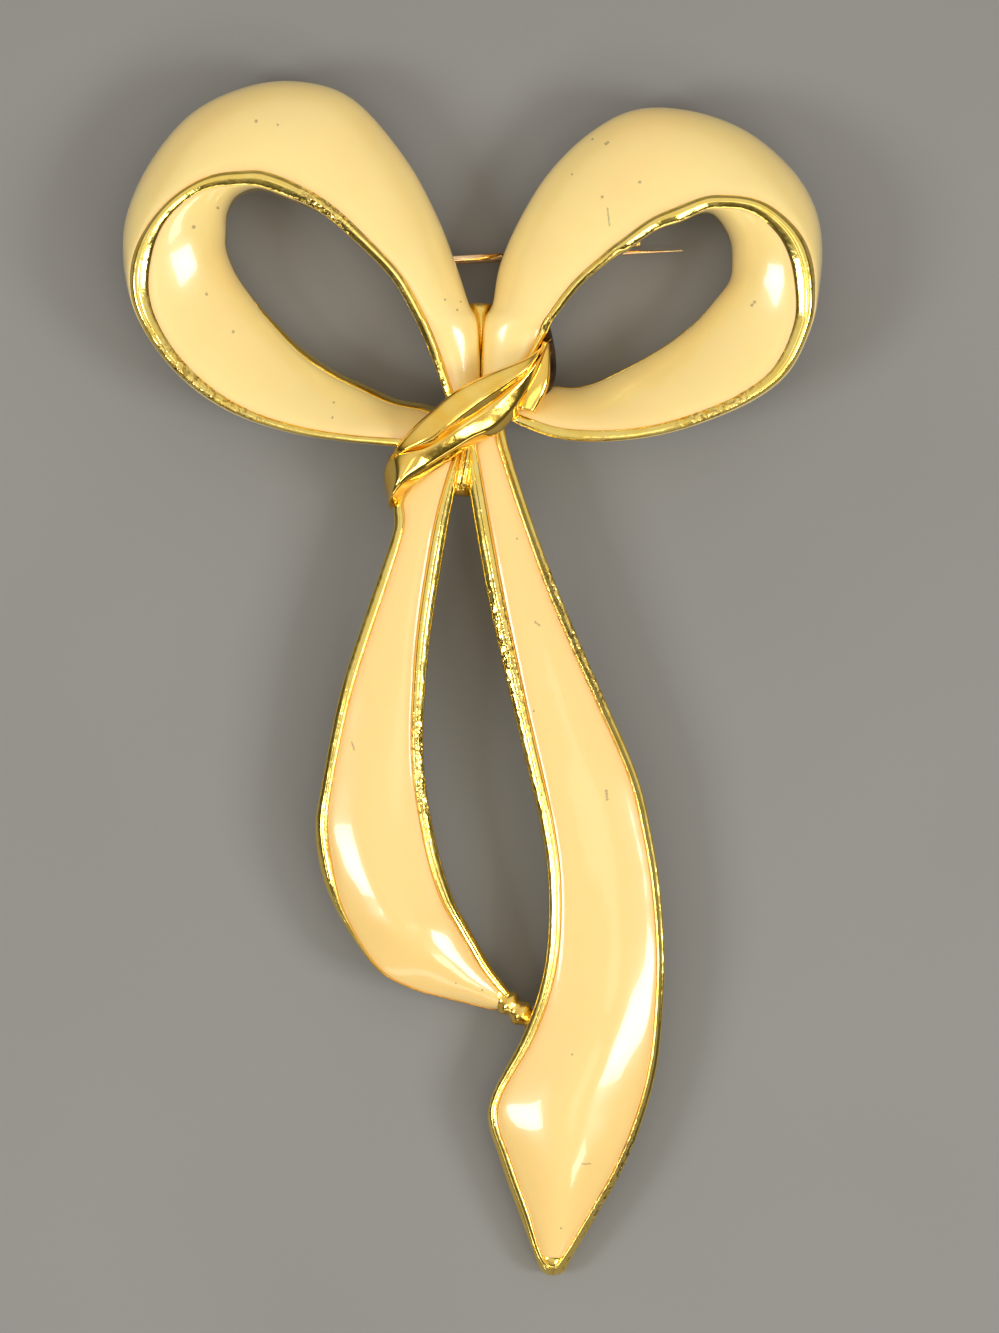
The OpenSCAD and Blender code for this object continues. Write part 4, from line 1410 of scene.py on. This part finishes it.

# %% [markdown]
# ## Enamel
# The enamel is an opaque warm cream under a hard gloss. Over the tails it is
# darkened to a deeper cream as painted shade, and near the gold it turns peach
# as a painted reflection and shade of the warm rims. Light goes a little way
# into it, which a plain glossy paint would miss, so the shader has some
# subsurface under a thin clear coat.

# %% Enamel finish
CREAM = [(0.3, (0.98, 0.68, 0.255, 1)), (0.55, (0.98, 0.71, 0.268, 1)), (0.75, (0.96, 0.70, 0.28, 1))]
# a painted shade for the tails, and a painted peach reflection and shade beside the gold
PAINTED_SHADE_CREAM = (0.96, 0.62, 0.222, 1)
PAINTED_PEACH_REFLECTION = (0.93, 0.50, 0.20, 1)
GREY_WEAR = (0.30, 0.24, 0.12, 1)
PAINTED_PEACH_SHARE = 0.85
WEAR_SHARE = 0.7
# the painted shade on the tails reaches this far in mm from a point between them
TAILS_MIDDLE = (2, -16, 5)
TAILS_WHOLE, TAILS_GONE = 35, 41
WAVINESS = 0.05


def enamel(name):
    """The cream with painted shade over its tails, a painted peach reflection and shade by the gold, and
    its wear, under a clear coat.
    """
    material, tree, shader, where = new_material(name)
    body = ramp(tree, noise(tree, where, scale=0.12, detail=3), CREAM)
    # Painted shade: over the tails the cream is darkened, as they face the lamps more openly than the
    # loops.
    body = mixed(tree, near_to(tree, where, TAILS_MIDDLE, TAILS_WHOLE, TAILS_GONE), body, PAINTED_SHADE_CREAM)
    # Painted reflection and shade: near the gold the cream turns peach, as if the warm rim showed in the
    # dipped enamel.
    near = tree.nodes.new("ShaderNodeAttribute")
    near.attribute_name = "rim"
    with_painted_peach = mixed(tree, fit_range(tree, near.outputs["Fac"], 0.1, 1.0, 0.0, PAINTED_PEACH_SHARE), body, PAINTED_PEACH_REFLECTION)
    worn = fit_range(tree, speck_mask(tree, where), 0.0, 1.0, 0.0, WEAR_SHARE)
    tree.links.new(mixed(tree, worn, with_painted_peach, GREY_WEAR), shader.inputs["Base Color"])
    shader.inputs["Roughness"].default_value = 0.22
    shader.inputs["Specular IOR Level"].default_value = 0.5
    shader.inputs["Coat Weight"].default_value = 0.6
    shader.inputs["Coat Roughness"].default_value = 0.04
    shader.inputs["Subsurface Weight"].default_value = 0.25
    shader.inputs["Subsurface Radius"].default_value = (1.0, 0.5, 0.2)
    shader.inputs["Subsurface Scale"].default_value = 0.8 * MM
    wavy = bump(tree, noise(tree, where, scale=0.25, detail=1), WAVINESS)
    tree.links.new(wavy, shader.inputs["Normal"])
    tree.links.new(wavy, shader.inputs["Coat Normal"])
    return material


cream_enamel = enamel("cream_enamel")
print("enamel:", len(cream_enamel.node_tree.nodes), "nodes")

# %% [markdown]
# ## Giving out finishes and bodies
# Every piece rides on the body that carries it, and the solids that it stands
# for are hidden. Only the wire swings on the rivet, so it alone rides on the pin's body.

# %% Bodies, replaced solids and materials
def dress(piece, material, body, slot, *nodes):
    """Gives a piece its finish, hides the solids it stands for and puts it on its body; slot is not
    used.
    """
    piece.data.materials.clear()
    piece.data.materials.append(material)
    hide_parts(*nodes)
    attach(piece, body)


for piece, material in (
    (loop_left_gold, polished_gold), (loop_right_gold, polished_gold),
    (tail_left_gold, polished_gold), (tail_right_gold, polished_gold),
    (knot_upper, knot_gold), (knot_lower, knot_gold), (knot_end, knot_gold),
    (knot_core, polished_gold), (side_wall, painted_shade_cast),
    (loop_web, web_gold), (tail_web, web_gold), (strut, web_gold), (tail_tip, polished_gold),
    (hinge_ears, cast_gold), (catch, cast_gold),
):
    dress(piece, material, "bow", "gilt_metal", "bow_casting")
dress(rivet, cast_gold, "bow", "gilt_metal", "pin_rivet")
dress(pin_wire, pin_gold, "pin", "pin_wire", "pin_stem")
for piece, node in (
    (enamel_left_outer, "enamel_left_loop_outer"), (enamel_left_inner, "enamel_left_loop_inner"),
    (enamel_right_outer, "enamel_right_loop_outer"), (enamel_right_inner, "enamel_right_loop_inner"),
    (enamel_left_tail, "enamel_left_tail"), (enamel_right_tail, "enamel_right_tail"),
):
    dress(piece, cream_enamel, "bow", "cream_enamel", node)
print("pieces dressed")

# %% [markdown]
# ## The table
# The brooch lies on a plain matt sheet in a soft grey. One large plane will do,
# with a hardly visible cloud in its colour, so that it isn't quite flat paint.

# %% Table
TABLE_SIZE = 3.0
TABLE_GREYS = [(0.3, (0.226, 0.215, 0.198, 1)), (0.7, (0.24, 0.229, 0.212, 1))]
TABLE_ROUGHNESS = 0.8

deselect()
bpy.ops.mesh.primitive_plane_add(size=TABLE_SIZE, location=(0, 0, 0))
table = bpy.context.object
table.name = "table"
table_paint, tree, shader, where = new_material("table_paint")
greys = ramp(tree, noise(tree, where, scale=0.02, detail=2), TABLE_GREYS)
tree.links.new(greys, shader.inputs["Base Color"])
shader.inputs["Roughness"].default_value = TABLE_ROUGHNESS
table.data.materials.append(table_paint)
print("the table is", TABLE_SIZE, "m wide")

# %% [markdown]
# ## Light
# Two softboxes stand to the left and right, about 45 degrees over the table, and
# give the small white marks on the enamel wherever it leans halfway toward them.
# A third one in front lights the knot, a weak window hangs high up, and a long
# low strip in front draws the bright lines along the rims. One large lamp would
# be simpler, but polished gold looks like gold only where it has something dark
# to mirror too.

# %% Lights
COOL, CLEAR, MILD, WARM = (0.9, 0.95, 1.0), (0.95, 0.98, 1.0), (1.0, 0.98, 0.94), (1.0, 0.97, 0.92)
MIDDLE = (0, 0, 0)
BY_THE_KNOT = (0, 20, 8)


def softbox(name, place, size, power, color, aim=MIDDLE):
    """A rectangular area light at a place in mm, turned toward a point of the brooch."""
    data = bpy.data.lights.new(name, "AREA")
    data.shape = "RECTANGLE"
    data.size, data.size_y = size[0] * MM, size[1] * MM
    data.energy = power
    data.color = color
    lamp = bpy.data.objects.new(name, data)
    bpy.context.scene.collection.objects.link(lamp)
    lamp.location = np.array(place) * MM
    way = Vector(np.array(aim) - np.array(place))
    lamp.rotation_euler = way.to_track_quat("-Z", "Y").to_euler()
    return lamp


lamps = [
    softbox("left_softbox", (-350, -105, 350), size=(145, 165), power=0.98, color=COOL),
    softbox("right_softbox", (350, -105, 350), size=(145, 165), power=0.98, color=COOL),
    softbox("knot_softbox", (230, -310, 400), size=(210, 100), power=0.42, color=CLEAR, aim=BY_THE_KNOT),
    softbox("high_window", (90, -110, 640), size=(230, 150), power=0.12, color=MILD),
    softbox("front_strip", (0, -480, 150), size=(600, 80), power=0.32, color=WARM),
]
print(len(lamps), "lamps")

# %% [markdown]
# ## The room
# The room itself is the largest thing the metal mirrors. It is pale overhead
# and behind the loops, and falls off to dark near the table, so every rounded
# rim shows a bright middle between two dark edges. A picture of a room would do
# this as well, but a ramp over the height is plainer and needs no file.

# %% Room
ROOM_TONES = [
    (0.0, (0.12, 0.11, 0.085, 1)), (0.12, (0.05, 0.05, 0.035, 1)),
    (0.30, (0.13, 0.13, 0.09, 1)), (0.46, (0.48, 0.46, 0.41, 1)),
    (0.64, (0.66, 0.63, 0.58, 1)), (0.84, (0.69, 0.67, 0.63, 1)), (1.0, (0.79, 0.77, 0.74, 1)),
]
# how much a place toward the back counts as height, and the height that has the last tone
BACK_SHARE = 0.4
HEIGHT_OF_TOP = 1.12
ROOM_STRENGTH = 1.13

world = bpy.data.worlds.new("room")
bpy.context.scene.world = world
world.use_nodes = True
tree = world.node_tree
background = tree.nodes["Background"]
direction = tree.nodes.new("ShaderNodeTexCoord")
axes = tree.nodes.new("ShaderNodeSeparateXYZ")
tree.links.new(direction.outputs["Generated"], axes.inputs["Vector"])
height = tree.nodes.new("ShaderNodeMath")
height.operation = "MULTIPLY_ADD"
height.inputs[1].default_value = BACK_SHARE
tree.links.new(axes.outputs["Y"], height.inputs[0])
tree.links.new(axes.outputs["Z"], height.inputs[2])
share = fit_range(tree, height.outputs["Value"], 0.0, HEIGHT_OF_TOP, 0.0, 1.0)
tree.links.new(ramp(tree, share, ROOM_TONES), background.inputs["Color"])
background.inputs["Strength"].default_value = ROOM_STRENGTH
bpy.context.scene.view_settings.view_transform = "Standard"
print("room set with", len(ROOM_TONES), "tones")
